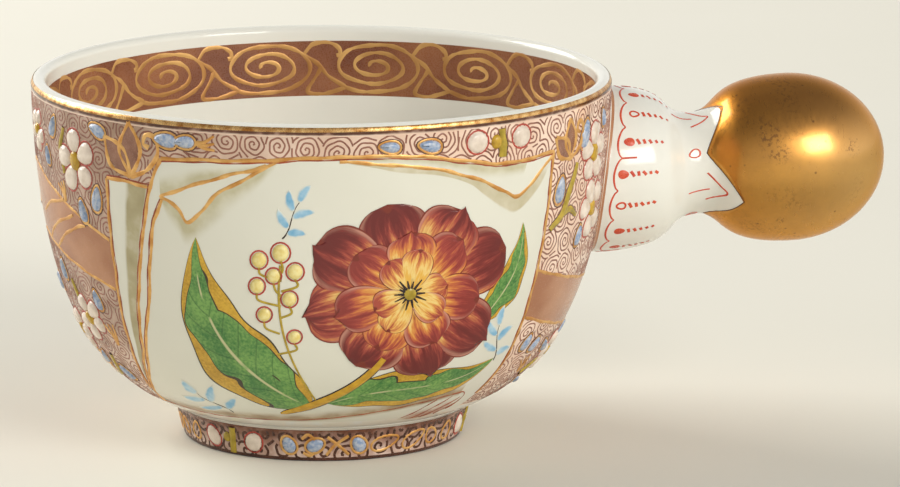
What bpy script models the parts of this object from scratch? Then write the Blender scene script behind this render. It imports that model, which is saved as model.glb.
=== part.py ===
"""Espresso cup with a knob handle, as the potter puts it together: four clay pieces luted with slip.

Metres, +Z up. The cup stands on Z = 0 and its handle points along +X. The origin is the middle
of the footprint, so the axis that the bowl is turned on lies at a negative X.
"""
import math

import bmesh
import bpy
from mathutils import Vector

# Bowl, turned on a wheel
RIM_DIAMETER = 0.0720
CUP_HEIGHT = 0.0455
WALL_THICKNESS = 0.0024
LIP_THICKNESS = 0.0018
FLOOR_THICKNESS = 0.0028
FLOOR_FLAT_DIAMETER = 0.0200
WALL_LEAN_DEG = 1.4        # lean of the wall just under the lip
WALL_RUN = 0.0184          # length over which the upper wall stays almost straight
BELLY_SLOPE_DEG = 19.0     # slope of the belly where it meets the foot ring
BELLY_RUN = 0.0151         # length over which the belly keeps that slope

# Foot ring, turned and tapering down
FOOT_TOP_DIAMETER = 0.0365
FOOT_BASE_DIAMETER = 0.0348
FOOT_HEIGHT = 0.0040
FOOT_TOP_WIDTH = 0.0046    # ring's wall where it is luted to the belly
FOOT_BASE_WIDTH = 0.0030   # ring's wall where it stands
FOOT_EDGE_RADIUS = 0.0005

# Slip seam between two pieces, and the fit of the knob's spigot in the bell's bore
SLIP_GAP = 0.0003

# Handle: a flared bell on the wall and an egg-shaped knob in its end
HANDLE_DROP = 0.00285      # from the rim down to the top of the bell
HANDLE_TILT_DEG = 2.0
BELL_MOUTH_DIAMETER = 0.0207
BELL_LENGTH = 0.0120       # from the wall to the waist, along the handle
BELL_CROWN_RUN = 0.0103    # length over which the bell keeps the width of its mouth
BELL_WAIST_RUN = 0.0050    # length over which it runs straight into the waist
BELL_BORE_DIAMETER = 0.0090
WAIST_DIAMETER = 0.01275
KNOB_DIAMETER = 0.0210
KNOB_NECK_LENGTH = 0.0120   # from the waist to the widest place
KNOB_NECK_RUN = 0.0037       # length over which the knob runs straight out of the waist
KNOB_SWELL_RUN = 0.0101      # length over which it runs straight into the widest place
KNOB_END_LENGTH = 0.0122     # from the widest place to the end
KNOB_CORE_DIAMETER = 0.0100
SPIGOT_LENGTH = 0.0040
SPIGOT_BORE_DIAMETER = 0.0044

# Facets
BOWL_SEGMENTS = 64
HANDLE_SEGMENTS = 40
WALL_STEPS = 14
LIP_STEPS = 4
EDGE_STEPS = 3
HANDLE_STEPS = 10
SHARP_ANGLE_DEG = 35.0
MERGE_DISTANCE = 0.000001

# Finishes: linear base colour, roughness, metallic
PORCELAIN = ((0.80, 0.78, 0.67), 0.12, 0.0)
BURNISHED_GOLD = ((0.55, 0.28, 0.07), 0.22, 1.0)

RIM_RADIUS = RIM_DIAMETER / 2
FOOT_RADIUS = FOOT_TOP_DIAMETER / 2
WAIST_RADIUS = WAIST_DIAMETER / 2
MOUTH_RADIUS = BELL_MOUTH_DIAMETER / 2
KNOB_RADIUS = KNOB_DIAMETER / 2
LIP_RADIUS = LIP_THICKNESS / 2
LIP_Z = CUP_HEIGHT - LIP_RADIUS
BASE_Z = FOOT_HEIGHT + SLIP_GAP
FLOOR_Z = BASE_Z + FLOOR_THICKNESS


def curve_points(start, start_pull, end_pull, end, steps):
    """Points of a cubic Bezier curve, each a (radius, height) pair."""
    points = []
    for i in range(steps + 1):
        t = i / steps
        s = 1 - t
        weights = (s ** 3, 3 * s * s * t, 3 * s * t * t, t ** 3)
        ends = (start, start_pull, end_pull, end)
        points.append(tuple(sum(w * p[axis] for w, p in zip(weights, ends)) for axis in (0, 1)))
    return points


def arc_points(centre, radii, from_deg, to_deg, steps):
    """Points of an arc of an ellipse; 0 degrees is outwards and 90 is up."""
    points = []
    for i in range(steps + 1):
        angle = math.radians(from_deg + (to_deg - from_deg) * i / steps)
        points.append((centre[0] + radii[0] * math.cos(angle), centre[1] + radii[1] * math.sin(angle)))
    return points


def wall_pulls():
    """The two middle control points of the bowl's outer curve, from the lip down to the foot."""
    lean = math.radians(WALL_LEAN_DEG)
    slope = math.radians(BELLY_SLOPE_DEG)
    upper = (RIM_RADIUS - WALL_RUN * math.sin(lean), LIP_Z - WALL_RUN * math.cos(lean))
    lower = (FOOT_RADIUS + BELLY_RUN * math.cos(slope), BASE_Z + BELLY_RUN * math.sin(slope))
    return upper, lower


def outer_wall():
    """The bowl's outside from the lip down to the foot."""
    return curve_points((RIM_RADIUS, LIP_Z), *wall_pulls(), (FOOT_RADIUS, BASE_Z), WALL_STEPS)


def inner_wall():
    """The bowl's inside, from the flat of the floor up to the lip."""
    upper, lower = wall_pulls()
    floor_edge = (FLOOR_FLAT_DIAMETER / 2, FLOOR_Z)
    floor_pull = (lower[0] - WALL_THICKNESS, FLOOR_Z)
    lip_pull = (upper[0] - WALL_THICKNESS, upper[1])
    return curve_points(floor_edge, floor_pull, lip_pull, (RIM_RADIUS - LIP_THICKNESS, LIP_Z), WALL_STEPS)


def wall_radius_at(height):
    """Outer radius of the bowl at a height, read from its outer curve."""
    wall = outer_wall()
    for (upper_r, upper_z), (lower_r, lower_z) in zip(wall, wall[1:]):
        if lower_z <= height <= upper_z:
            share = (height - lower_z) / (upper_z - lower_z)
            return lower_r + share * (upper_r - lower_r)
    return RIM_RADIUS


def finish(name, colour, roughness, metallic):
    material = bpy.data.materials.new(name)
    material.use_nodes = True
    shader = material.node_tree.nodes["Principled BSDF"]
    shader.inputs["Base Color"].default_value = (*colour, 1.0)
    shader.inputs["Roughness"].default_value = roughness
    shader.inputs["Metallic"].default_value = metallic
    return material


def turned_piece(name, profile, segments, look, parent, closed_loop):
    """Turn a profile of (radius, height) points about the parent's Z axis into one closed body."""
    bm = bmesh.new()
    verts = [bm.verts.new((radius, 0, height)) for radius, height in profile]
    edges = [bm.edges.new(pair) for pair in zip(verts, verts[1:])]
    if closed_loop:
        edges.append(bm.edges.new((verts[-1], verts[0])))
    bmesh.ops.spin(bm, geom=verts + edges, cent=(0, 0, 0), axis=(0, 0, 1), angle=math.tau,
                   steps=segments, use_merge=True)
    bmesh.ops.remove_doubles(bm, verts=bm.verts, dist=MERGE_DISTANCE)
    bmesh.ops.recalc_face_normals(bm, faces=bm.faces)
    mesh = bpy.data.meshes.new(name)
    bm.to_mesh(mesh)
    bm.free()
    mesh.shade_smooth()
    mesh.set_sharp_from_angle(angle=math.radians(SHARP_ANGLE_DEG))
    mesh.materials.append(finish(name + "_finish", *look))
    piece = bpy.data.objects.new(name, mesh)
    piece.parent = parent
    bpy.context.collection.objects.link(piece)
    return piece


def axis_empty(name, location, tilt=0.0):
    """An empty whose Z axis is a turning axis; tilt leans it from upright towards +X."""
    empty = bpy.data.objects.new(name, None)
    empty.location = location
    empty.rotation_euler = (0, tilt, 0)
    bpy.context.collection.objects.link(empty)
    return empty


def make_bowl(axis):
    """A thin turned wall with a rounded lip, thickening to a flat base."""
    lip = arc_points((RIM_RADIUS - LIP_RADIUS, LIP_Z), (LIP_RADIUS, LIP_RADIUS), 180, 0, LIP_STEPS)
    profile = [(0, FLOOR_Z)] + inner_wall() + lip[1:] + outer_wall()[1:] + [(0, BASE_Z)]
    return turned_piece("bowl", profile, BOWL_SEGMENTS, PORCELAIN, axis, False)


def make_foot_ring(axis):
    """A ring that tapers down from the belly and stands on a flat face with eased edges."""
    base_outer = FOOT_BASE_DIAMETER / 2
    base_inner = base_outer - FOOT_BASE_WIDTH
    edge = (FOOT_EDGE_RADIUS, FOOT_EDGE_RADIUS)
    outer_edge = arc_points((base_outer - edge[0], edge[1]), edge, 0, -90, EDGE_STEPS)
    inner_edge = arc_points((base_inner + edge[0], edge[1]), edge, 270, 180, EDGE_STEPS)
    top = [(FOOT_RADIUS - FOOT_TOP_WIDTH, FOOT_HEIGHT), (FOOT_RADIUS, FOOT_HEIGHT)]
    return turned_piece("foot_ring", top + outer_edge + inner_edge, BOWL_SEGMENTS, PORCELAIN, axis, True)


def make_bowl_envelope(axis):
    """The bowl's outside grown by the slip gap: the cutter that saddles the bell to the wall."""
    wall = outer_wall()
    grown = []
    for before, point, after in zip([wall[0]] + wall, wall, wall[1:] + [wall[-1]]):
        along = Vector(after) - Vector(before)
        outwards = Vector((-along.y, along.x)).normalized()
        grown.append(tuple(Vector(point) + SLIP_GAP * outwards))
    top = [(0, CUP_HEIGHT), (grown[0][0], CUP_HEIGHT)]
    envelope = turned_piece("bowl_envelope", top + grown + [(0, grown[-1][1])], BOWL_SEGMENTS,
                            PORCELAIN, axis, False)
    envelope.hide_render = True
    envelope.display_type = "WIRE"
    return envelope


def make_handle_bell(axis, envelope):
    """A flared, bored collar whose mouth is cut to the curve of the bowl's wall."""
    bore_radius = BELL_BORE_DIAMETER / 2
    inside_bowl = -MOUTH_RADIUS
    flare = curve_points((MOUTH_RADIUS, 0), (MOUTH_RADIUS, BELL_CROWN_RUN),
                         (WAIST_RADIUS, BELL_LENGTH - BELL_WAIST_RUN), (WAIST_RADIUS, BELL_LENGTH),
                         HANDLE_STEPS)
    profile = [(bore_radius, inside_bowl), (MOUTH_RADIUS, inside_bowl)] + flare
    profile.append((bore_radius, BELL_LENGTH))
    bell = turned_piece("handle_bell", profile, HANDLE_SEGMENTS, PORCELAIN, axis, True)
    saddle = bell.modifiers.new("saddle", "BOOLEAN")
    saddle.operation = "DIFFERENCE"
    saddle.object = envelope
    return bell


def make_handle_knob(axis):
    """An egg with a hollow core, on a bored spigot that plugs the end of the bell."""
    spigot_radius = BELL_BORE_DIAMETER / 2 - SLIP_GAP
    spigot_bore = SPIGOT_BORE_DIAMETER / 2
    shoulder = BELL_LENGTH + SLIP_GAP
    spigot_end = shoulder - SPIGOT_LENGTH
    widest = BELL_LENGTH + KNOB_NECK_LENGTH
    core_radius = KNOB_CORE_DIAMETER / 2
    neck = curve_points((WAIST_RADIUS, shoulder), (WAIST_RADIUS, shoulder + KNOB_NECK_RUN),
                        (KNOB_RADIUS, widest - KNOB_SWELL_RUN), (KNOB_RADIUS, widest), HANDLE_STEPS)
    end = arc_points((0, widest), (KNOB_RADIUS, KNOB_END_LENGTH), 0, 90, HANDLE_STEPS)
    core = arc_points((0, widest), (core_radius, core_radius), 90, -60, HANDLE_STEPS)
    spigot = [(spigot_bore, spigot_end), (spigot_radius, spigot_end), (spigot_radius, shoulder)]
    outside = spigot + neck + end[1:-1] + [(0, widest + KNOB_END_LENGTH)]
    inside = [(0, widest + core_radius)] + core[1:-1]
    inside.append((spigot_bore, widest - math.sqrt(core_radius ** 2 - spigot_bore ** 2)))
    profile = outside + inside + spigot[:1]
    return turned_piece("handle_knob", profile, HANDLE_SEGMENTS, BURNISHED_GOLD, axis, False)


def build_cup():
    for leftover in list(bpy.data.objects):
        bpy.data.objects.remove(leftover, do_unlink=True)
    handle_z = CUP_HEIGHT - HANDLE_DROP - MOUTH_RADIUS
    wall_radius = wall_radius_at(handle_z)
    handle_length = BELL_LENGTH + KNOB_NECK_LENGTH + KNOB_END_LENGTH
    tilt = math.radians(HANDLE_TILT_DEG)
    reach = wall_radius + handle_length * math.cos(tilt)
    cup_x = (RIM_RADIUS - reach) / 2
    cup_axis = axis_empty("cup_axis", (cup_x, 0, 0))
    handle_axis = axis_empty("handle_axis", (cup_x + wall_radius, 0, handle_z), math.pi / 2 - tilt)
    make_bowl(cup_axis)
    make_foot_ring(cup_axis)
    envelope = make_bowl_envelope(cup_axis)
    make_handle_bell(handle_axis, envelope)
    make_handle_knob(handle_axis)


build_cup()
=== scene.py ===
import math

import bmesh
import bpy
import numpy as np
from mathutils import Matrix, Vector


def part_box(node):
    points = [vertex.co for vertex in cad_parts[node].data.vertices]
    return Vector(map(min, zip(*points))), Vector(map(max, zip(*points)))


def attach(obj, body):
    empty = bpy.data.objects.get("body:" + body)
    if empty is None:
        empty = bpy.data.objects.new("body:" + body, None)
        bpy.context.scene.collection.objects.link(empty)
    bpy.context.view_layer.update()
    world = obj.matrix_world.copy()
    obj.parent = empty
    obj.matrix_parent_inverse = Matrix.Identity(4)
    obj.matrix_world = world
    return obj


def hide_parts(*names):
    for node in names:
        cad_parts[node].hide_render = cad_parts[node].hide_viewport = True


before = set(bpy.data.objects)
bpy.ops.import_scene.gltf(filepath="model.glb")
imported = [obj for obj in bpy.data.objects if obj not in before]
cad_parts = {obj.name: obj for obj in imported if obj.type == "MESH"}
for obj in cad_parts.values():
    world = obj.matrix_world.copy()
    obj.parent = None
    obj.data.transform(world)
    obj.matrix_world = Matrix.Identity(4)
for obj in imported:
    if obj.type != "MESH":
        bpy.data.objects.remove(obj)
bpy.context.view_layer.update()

# Bowl: porcelain turned thin on a wheel, with an almost upright wall, a rounded lip and a belly
# that curves in to the foot. It is dipped in a clear glaze with a faint green cast. Sizes below
# are in millimetres, and the axis matrix brings a turned shape to its place in metres.
MM = 0.001
bowl_low, bowl_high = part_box("bowl")
foot_low, foot_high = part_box("foot_ring")
CUP_X = (bowl_low.x + bowl_high.x) / 2
CUP_AXIS = Matrix.Translation((CUP_X, 0, 0)) @ Matrix.Scale(MM, 4)
RIM_RADIUS = (bowl_high.y - bowl_low.y) / 2 / MM
CUP_HEIGHT = bowl_high.z / MM
BASE_Z = bowl_low.z / MM
FOOT_RADIUS = (foot_high.y - foot_low.y) / 2 / MM
LIP_THICKNESS = 1.8
WALL_THICKNESS = 2.4
FLOOR_THICKNESS = 2.8
FLOOR_FLAT_RADIUS = 10.0
WALL_LEAN_DEG = 1.4
WALL_RUN = 18.4
BELLY_SLOPE_DEG = 19.0
BELLY_RUN = 15.1
WALL_STEPS = 60
LIP_STEPS = 8
CUP_SEGMENTS = 192


def bend(spine, shares):
    """Points of a cubic Bezier curve, as rows of an array, at given shares or in so many equal steps."""
    t = (np.linspace(0, 1, shares + 1) if isinstance(shares, int) else shares)[:, None]
    s = 1 - t
    a, b, c, d = (np.array(point, float) for point in spine)
    return s ** 3 * a + 3 * s * s * t * b + 3 * s * t * t * c + t ** 3 * d


def arc(centre, radii, from_deg, to_deg, steps):
    """Points of an arc of an ellipse, as rows of an array; 0 degrees is outwards and 90 is up."""
    angles = np.radians(np.linspace(from_deg, to_deg, steps + 1))
    return np.array(centre) + np.stack([np.cos(angles), np.sin(angles)], 1) * np.array(radii)


def finished(bm):
    """A mesh of a bmesh that is done with."""
    mesh = bpy.data.meshes.new("made")
    bm.to_mesh(mesh)
    bm.free()
    return mesh


def turned(profile, segments):
    """A body turned from (radius, height) points."""
    bm = bmesh.new()
    verts = [bm.verts.new((radius, 0, height)) for radius, height in profile]
    edges = [bm.edges.new(pair) for pair in zip(verts, verts[1:])]
    bmesh.ops.spin(bm, geom=verts + edges, cent=(0, 0, 0), axis=(0, 0, 1), angle=math.tau,
                   steps=segments, use_merge=True)
    bmesh.ops.remove_doubles(bm, verts=bm.verts, dist=0.0005)
    bmesh.ops.recalc_face_normals(bm, faces=bm.faces)
    return bm


def linear(hex_colour):
    """Linear RGBA of an sRGB hex value."""
    channels = [int(hex_colour[i:i + 2], 16) / 255 for i in (1, 3, 5)]
    return [c / 12.92 if c <= 0.04045 else ((c + 0.055) / 1.055) ** 2.4 for c in channels] + [1.0]


def add(tree, kind, inputs, out=None, **settings):
    """Add a shader node, or take one that is there, and give back its named or first output in use. Its
    inputs, by name or in the order of those in use, are linked or set, hex colours as linear ones."""
    node = tree.nodes.new("ShaderNode" + kind) if isinstance(kind, str) else kind
    for key, value in settings.items():
        setattr(node, key, value)
    if not isinstance(inputs, dict):
        in_use = [number for number, socket in enumerate(node.inputs) if socket.enabled]
        inputs = dict(zip(in_use, inputs))
    for key, value in inputs.items():
        if isinstance(value, bpy.types.NodeSocket):
            tree.links.new(value, node.inputs[key])
        else:
            node.inputs[key].default_value = linear(value) if isinstance(value, str) else value
    return node.outputs[out] if out else next((socket for socket in node.outputs if socket.enabled), None)


def new_finish(name):
    """A new material with its node tree, its Principled shader and its object coordinates."""
    material = bpy.data.materials.new(name)
    material.use_nodes = True
    tree = material.node_tree
    return material, tree, tree.nodes["Principled BSDF"], add(tree, "TexCoord", {}, "Object")


def piece(name, mesh, material, slot, *replaced):
    """Make a mesh a piece of the cup, on its one body, in place of the named solids."""
    mesh.name = name
    mesh.materials.append(material)
    mesh.shade_smooth()
    made = bpy.data.objects.new(name, mesh)
    bpy.context.scene.collection.objects.link(made)
    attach(made, "root")
    if replaced:
        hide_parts(*replaced)


def turned_piece(name, profile, slot, replaced):
    """A piece of the cup that is turned about its axis, in plain glazed porcelain."""
    mesh = finished(turned(profile, CUP_SEGMENTS))
    mesh.transform(CUP_AXIS)
    piece(name, mesh, porcelain, slot, replaced)


def glazed_porcelain(name, light, dark):
    """Hard porcelain under a clear glaze: cool cream white, mirror-smooth but gently rippled,
    with a few dark kiln specks."""
    material, tree, shader, place = new_finish(name)
    pools = add(tree, "TexNoise", {"Vector": place, "Scale": 1 / (14 * MM), "Detail": 2.0})
    body = add(tree, "Mix", (pools, light, dark), data_type="RGBA")
    specks = add(tree, "TexVoronoi", {"Vector": place, "Scale": 1 / (7 * MM)})
    speck = add(tree, "MapRange", (specks, 0.012, 0.022, 0.55, 0.0))
    colour = add(tree, "Mix", (speck, body, "#5A5048"), data_type="RGBA")
    ripple = add(tree, "TexNoise", {"Vector": place, "Scale": 1 / (5 * MM), "Detail": 1.0})
    bump = add(tree, "Bump", {"Height": ripple, "Strength": 0.12, "Distance": 0.2 * MM})
    add(tree, shader, {"Base Color": colour, "Roughness": 0.13, "IOR": 1.5, "Normal": bump})
    return material


LIP_RADIUS = LIP_THICKNESS / 2
LIP_Z = CUP_HEIGHT - LIP_RADIUS
FLOOR_Z = BASE_Z + FLOOR_THICKNESS
lean = math.radians(WALL_LEAN_DEG)
slope = math.radians(BELLY_SLOPE_DEG)
upper_pull = np.array((RIM_RADIUS - WALL_RUN * math.sin(lean), LIP_Z - WALL_RUN * math.cos(lean)))
lower_pull = np.array((FOOT_RADIUS + BELLY_RUN * math.cos(slope), BASE_Z + BELLY_RUN * math.sin(slope)))
outer_wall = bend(((FOOT_RADIUS, BASE_Z), lower_pull, upper_pull, (RIM_RADIUS, LIP_Z)), WALL_STEPS)
inner_wall = bend(((FLOOR_FLAT_RADIUS, FLOOR_Z), (lower_pull[0] - WALL_THICKNESS, FLOOR_Z),
                   upper_pull - (WALL_THICKNESS, 0), (RIM_RADIUS - LIP_THICKNESS, LIP_Z)), WALL_STEPS)
lip_centre = (RIM_RADIUS - LIP_RADIUS, LIP_Z)
outer_lip = arc(lip_centre, (LIP_RADIUS, LIP_RADIUS), 0, 90, LIP_STEPS)
inner_lip = arc(lip_centre, (LIP_RADIUS, LIP_RADIUS), 180, 90, LIP_STEPS)
bowl_profile = [(0, FLOOR_Z), *inner_wall, *inner_lip[1:], *outer_lip[-2::-1], *outer_wall[-2::-1],
                (0, BASE_Z)]
porcelain = glazed_porcelain("glazed_porcelain", "#F1EFE6", "#EAE9DF")
turned_piece("bowl_body", bowl_profile, "bowl_porcelain", "bowl")

# Foot ring: a second turned ring of the same porcelain, luted under the belly with slip that
# leaves a soft fillet. It tapers down to a flat standing face.
FOOT_BASE_RADIUS = 17.4
FOOT_BASE_WIDTH = 3.0
FOOT_TOP_WIDTH = 4.6
FOOT_TOP_LAP = 0.2
FOOT_EDGE = 0.5
FOOT_FILLET = 1.2
FOOT_FILLET_DROP = 0.9
fillet_top = (FOOT_RADIUS + FOOT_FILLET, BASE_Z + FOOT_FILLET * math.tan(slope))
fillet = bend((fillet_top, (FOOT_RADIUS + 0.3, BASE_Z), (FOOT_RADIUS, BASE_Z - 0.2),
               (FOOT_RADIUS - 0.1, BASE_Z - FOOT_FILLET_DROP)), 8)
base_edge = arc((FOOT_BASE_RADIUS - FOOT_EDGE, FOOT_EDGE), (FOOT_EDGE, FOOT_EDGE), 0, -90, 5)
inner_edge = arc((FOOT_BASE_RADIUS - FOOT_BASE_WIDTH + FOOT_EDGE, FOOT_EDGE), (FOOT_EDGE, FOOT_EDGE),
                 270, 180, 5)
foot_top_inner = (FOOT_RADIUS - FOOT_TOP_WIDTH, BASE_Z + FOOT_TOP_LAP)
foot_profile = [*fillet, *base_edge, *inner_edge, foot_top_inner, fillet_top]
turned_piece("foot_body", foot_profile, "foot_porcelain", "foot_ring")

# Handle bell: a flared collar of porcelain, luted to the wall with a small fillet of slip. Its
# mouth follows the curve of the wall, and its narrow end runs on under the gold of the knob.
bell_low, bell_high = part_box("handle_bell")
knob_low, knob_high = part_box("handle_knob")
HANDLE_TILT_DEG = 2.0
HANDLE_DROP = 2.85
BELL_LENGTH = 12.0
BELL_CROWN_RUN = 10.3
BELL_WAIST_RUN = 5.0
WAIST_RADIUS = 6.375
KNOB_NECK_LENGTH = 12.0
KNOB_NECK_RUN = 3.7
KNOB_SWELL_RUN = 10.1
KNOB_END_LENGTH = 12.2
SLIP_FILLET = 0.9
BELL_TUCK = 0.4
BELL_TUCK_REACH = 1.3
MOUTH_SINK = 0.5
BELL_UNDER_GOLD = 7.5
BELL_SEGMENTS = 128
MOUTH_RADIUS = (bell_high.y - bell_low.y) / 2 / MM
KNOB_RADIUS = (knob_high.y - knob_low.y) / 2 / MM
HANDLE_Z = CUP_HEIGHT - HANDLE_DROP - MOUTH_RADIUS
HANDLE_WALL = float(np.interp(HANDLE_Z, outer_wall[:, 1], outer_wall[:, 0]))
HANDLE_AXIS = (CUP_AXIS @ Matrix.Translation((HANDLE_WALL, 0, HANDLE_Z))
               @ Matrix.Rotation(math.pi / 2 - math.radians(HANDLE_TILT_DEG), 4, "Y"))
HANDLE_TO_CUP = Matrix.Scale(1 / MM, 4) @ Matrix.Translation((-CUP_X, 0, 0)) @ HANDLE_AXIS
KNOB_WIDEST = BELL_LENGTH + KNOB_NECK_LENGTH
flare = bend(((MOUTH_RADIUS, 0), (MOUTH_RADIUS, BELL_CROWN_RUN),
              (WAIST_RADIUS, BELL_LENGTH - BELL_WAIST_RUN), (WAIST_RADIUS, BELL_LENGTH)), 28)
neck = bend(((WAIST_RADIUS, BELL_LENGTH), (WAIST_RADIUS, BELL_LENGTH + KNOB_NECK_RUN),
             (KNOB_RADIUS, KNOB_WIDEST - KNOB_SWELL_RUN), (KNOB_RADIUS, KNOB_WIDEST)), 32)
knob_end = arc((0, KNOB_WIDEST), (KNOB_RADIUS, KNOB_END_LENGTH), 0, 90, 28)
handle_line = np.concatenate([flare, neck[1:], knob_end[1:]])


def handle_radius(along):
    """Radius of the handle at a distance from the wall, the width of the mouth inside the wall."""
    return float(np.interp(along, handle_line[:, 1], handle_line[:, 0]))


def off_axis(radius, angle, along):
    """A point at a radius and an angle from the handle's axis, and a distance along it."""
    return Vector((radius * math.cos(angle), radius * math.sin(angle), along))


def wall_reach(angle):
    """Distance along the handle at which a line down the mouth's edge, at this angle, leaves the wall."""
    near, far = -8.0, 4.0
    for _ in range(30):
        middle = (near + far) / 2
        point = HANDLE_TO_CUP @ off_axis(MOUTH_RADIUS, angle, middle)
        wall_radius = float(np.interp(point.z, outer_wall[:, 1], outer_wall[:, 0]))
        if math.hypot(point.x, point.y) < wall_radius:
            near = middle
        else:
            far = middle
    return near


def bell_radius(along, distance):
    """Radius of the bell, which tucks in towards the wall and spreads again where slip fills the joint."""
    tuck = BELL_TUCK * max(0.0, 1 - max(distance, 0.0) / BELL_TUCK_REACH) ** 2
    left = max(0.0, SLIP_FILLET - max(distance, 0.0))
    return handle_radius(along) - tuck + SLIP_FILLET - math.sqrt(SLIP_FILLET ** 2 - left ** 2)


def on_axis(profile, segments, shape, closed):
    """A turned shape on the handle's axis. shape(angle, share) gives each point's radius and distance."""
    bm = turned(profile, segments)
    for vert in bm.verts:
        angle = math.atan2(vert.co.y, vert.co.x)
        radius, along = shape(angle, vert.co.z)
        vert.co = off_axis(radius, angle, along)
    if closed:
        bmesh.ops.holes_fill(bm, edges=bm.edges)
    bmesh.ops.recalc_face_normals(bm, faces=bm.faces)
    mesh = finished(bm)
    mesh.transform(HANDLE_AXIS)
    return mesh


def saddled(start, end, steps, film, closed):
    """The bell from a distance off the wall all round to a place along the handle, or a film on it."""
    def shape(angle, share):
        mouth = wall_reach(angle)
        stop = end if closed else mouth + end
        along = mouth + start + (stop - mouth - start) * share
        return bell_radius(along, along - mouth) + film, along

    profile = [(MOUTH_RADIUS, share) for share in np.linspace(0, 1, steps + 1) ** 1.6]
    return on_axis(profile, BELL_SEGMENTS, shape, closed)


bell = saddled(-MOUTH_SINK, BELL_LENGTH + BELL_UNDER_GOLD, 48, 0.0, True)
piece("bell_body", bell, porcelain, "bell_porcelain", "handle_bell")

# Knob: a hollow egg of porcelain plugged into the bell, and covered with burnished gold. The
# gold stops at a zigzag of four white sepals, and years of hands have worn and scratched it.
SEPALS = 4
SEPAL_TURN_DEG = -21.0
SEPAL_VALLEY = BELL_LENGTH + 0.6
SEPAL_TIPS = (4.0, 4.4, 2.7, 4.1)
GOLD_FILM = 0.05
GOLD_END = KNOB_WIDEST + KNOB_END_LENGTH + GOLD_FILM
KNOB_SEGMENTS = 160
# Each rub mark: distance along the handle, angle round it in degrees, and reach.
RUB_MARKS = ((19.9, -118, 2.1), (20.8, -107, 2.3), (30.5, -105, 1.4), (21.2, -52, 0.7))


def sepal_edge(angle):
    """Distance from the wall at which the gold begins, at an angle round the handle."""
    turn = (angle - math.radians(SEPAL_TURN_DEG)) * SEPALS / math.tau % SEPALS
    peak = 1 - abs(2 * (turn % 1.0) - 1)
    return SEPAL_VALLEY + SEPAL_TIPS[int(turn)] * peak ** 1.15


def egg_shape(angle, share):
    """Radius and distance of the egg from the sepals to its end, one film of gold over the porcelain."""
    start = sepal_edge(angle)
    along = start + (GOLD_END - start) * math.sin(share * math.pi / 2)
    return handle_radius(along) + GOLD_FILM if share < 1 else 0.0, along


def burnished_gold(name):
    """Fired gold rubbed with agate: a warm deep mirror, clouded, with fine rubbing marks and pits. Its
    colour is painted paler towards the end and darker and redder on top, painted reflections of the bright
    room to the right and of the dark ceiling, and it is rubbed through to brown in places."""
    material, tree, shader, place = new_finish(name)
    clouds = add(tree, "TexNoise", {"Vector": place, "Scale": 1 / (6 * MM), "Detail": 6.0,
                                    "Roughness": 0.7})
    tone = add(tree, "MapRange", (clouds, 0.35, 0.68))
    deep = add(tree, "Mix", (tone, "#DA9428", "#BA7A1C"), data_type="RGBA")
    along = add(tree, "SeparateXYZ", (place,)).node.outputs
    # Painted reflection: the gold turns paler towards the end, for the bright room on the right.
    pale_end_reflection = add(tree, "MapRange", (along["X"], knob_low.x, knob_high.x, 0.0, 0.9))
    paler = add(tree, "Mix", (pale_end_reflection, deep, "#D2AA6A"), data_type="RGBA")
    # Painted reflection: the gold turns darker and redder on top, for the dark ceiling.
    dark_top_reflection = add(tree, "MapRange", (along["Z"], knob_high.z - 11 * MM, knob_high.z - 2 * MM, 0.0, 0.55))
    gold = add(tree, "Mix", (dark_top_reflection, paler, "#B06A26"), data_type="RGBA")
    rubbed = add(tree, "TexNoise", {"Vector": place, "Scale": 1 / (7 * MM), "Detail": 1.0})
    bald = add(tree, "MapRange", (rubbed, 0.5, 0.65, 0.0, 0.7))
    for distance, angle_deg, reach in RUB_MARKS:
        middle = HANDLE_AXIS @ off_axis(handle_radius(distance), math.radians(angle_deg), distance)
        away = add(tree, "VectorMath", (place, middle), operation="DISTANCE")
        mark = add(tree, "MapRange", (away, 0.5 * reach * MM, reach * MM, 1.0, 0.0))
        bald = add(tree, "Math", (bald, mark), operation="MAXIMUM")
    crumbs = add(tree, "TexNoise", {"Vector": place, "Scale": 1 / (0.5 * MM), "Detail": 4.0,
                                    "Roughness": 0.7})
    crumb = add(tree, "MapRange", (crumbs, 0.52, 0.6, 0.0, 0.65))
    wear = add(tree, "Math", (bald, crumb), operation="MULTIPLY")
    pits = add(tree, "TexVoronoi", {"Vector": place, "Scale": 1 / (2.2 * MM)})
    pit = add(tree, "MapRange", (pits, 0.04, 0.1, 0.75, 0.0))
    bare = add(tree, "Math", (pit, wear), operation="MAXIMUM")
    worn = add(tree, "Mix", (bare, gold, "#785030"), data_type="RGBA")
    stretch = add(tree, "Mapping", {"Vector": place, "Scale": (1.0, 0.18, 0.18)})
    rubbing = add(tree, "TexNoise", {"Vector": stretch, "Scale": 1 / (0.25 * MM), "Detail": 2.0})
    rough = add(tree, "MapRange", (rubbing, 0.3, 0.7, 0.27, 0.35))
    bump = add(tree, "Bump", {"Height": rubbing, "Strength": 0.05, "Distance": 0.05 * MM})
    add(tree, shader, {"Base Color": worn, "Metallic": 1.0, "Roughness": rough, "Normal": bump,
                       "Specular Tint": "#F0C486", "Coat Weight": 0.5, "Coat Roughness": 0.14})
    return material


egg_profile = [(1.0, share) for share in np.linspace(0, 1, 61)[:-1]] + [(0.0, 1.0)]
gilt_egg = on_axis(egg_profile, KNOB_SEGMENTS, egg_shape, True)
piece("gilt_knob", gilt_egg, burnished_gold("burnished_gold"), "gilt_porcelain", "handle_knob")

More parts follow.
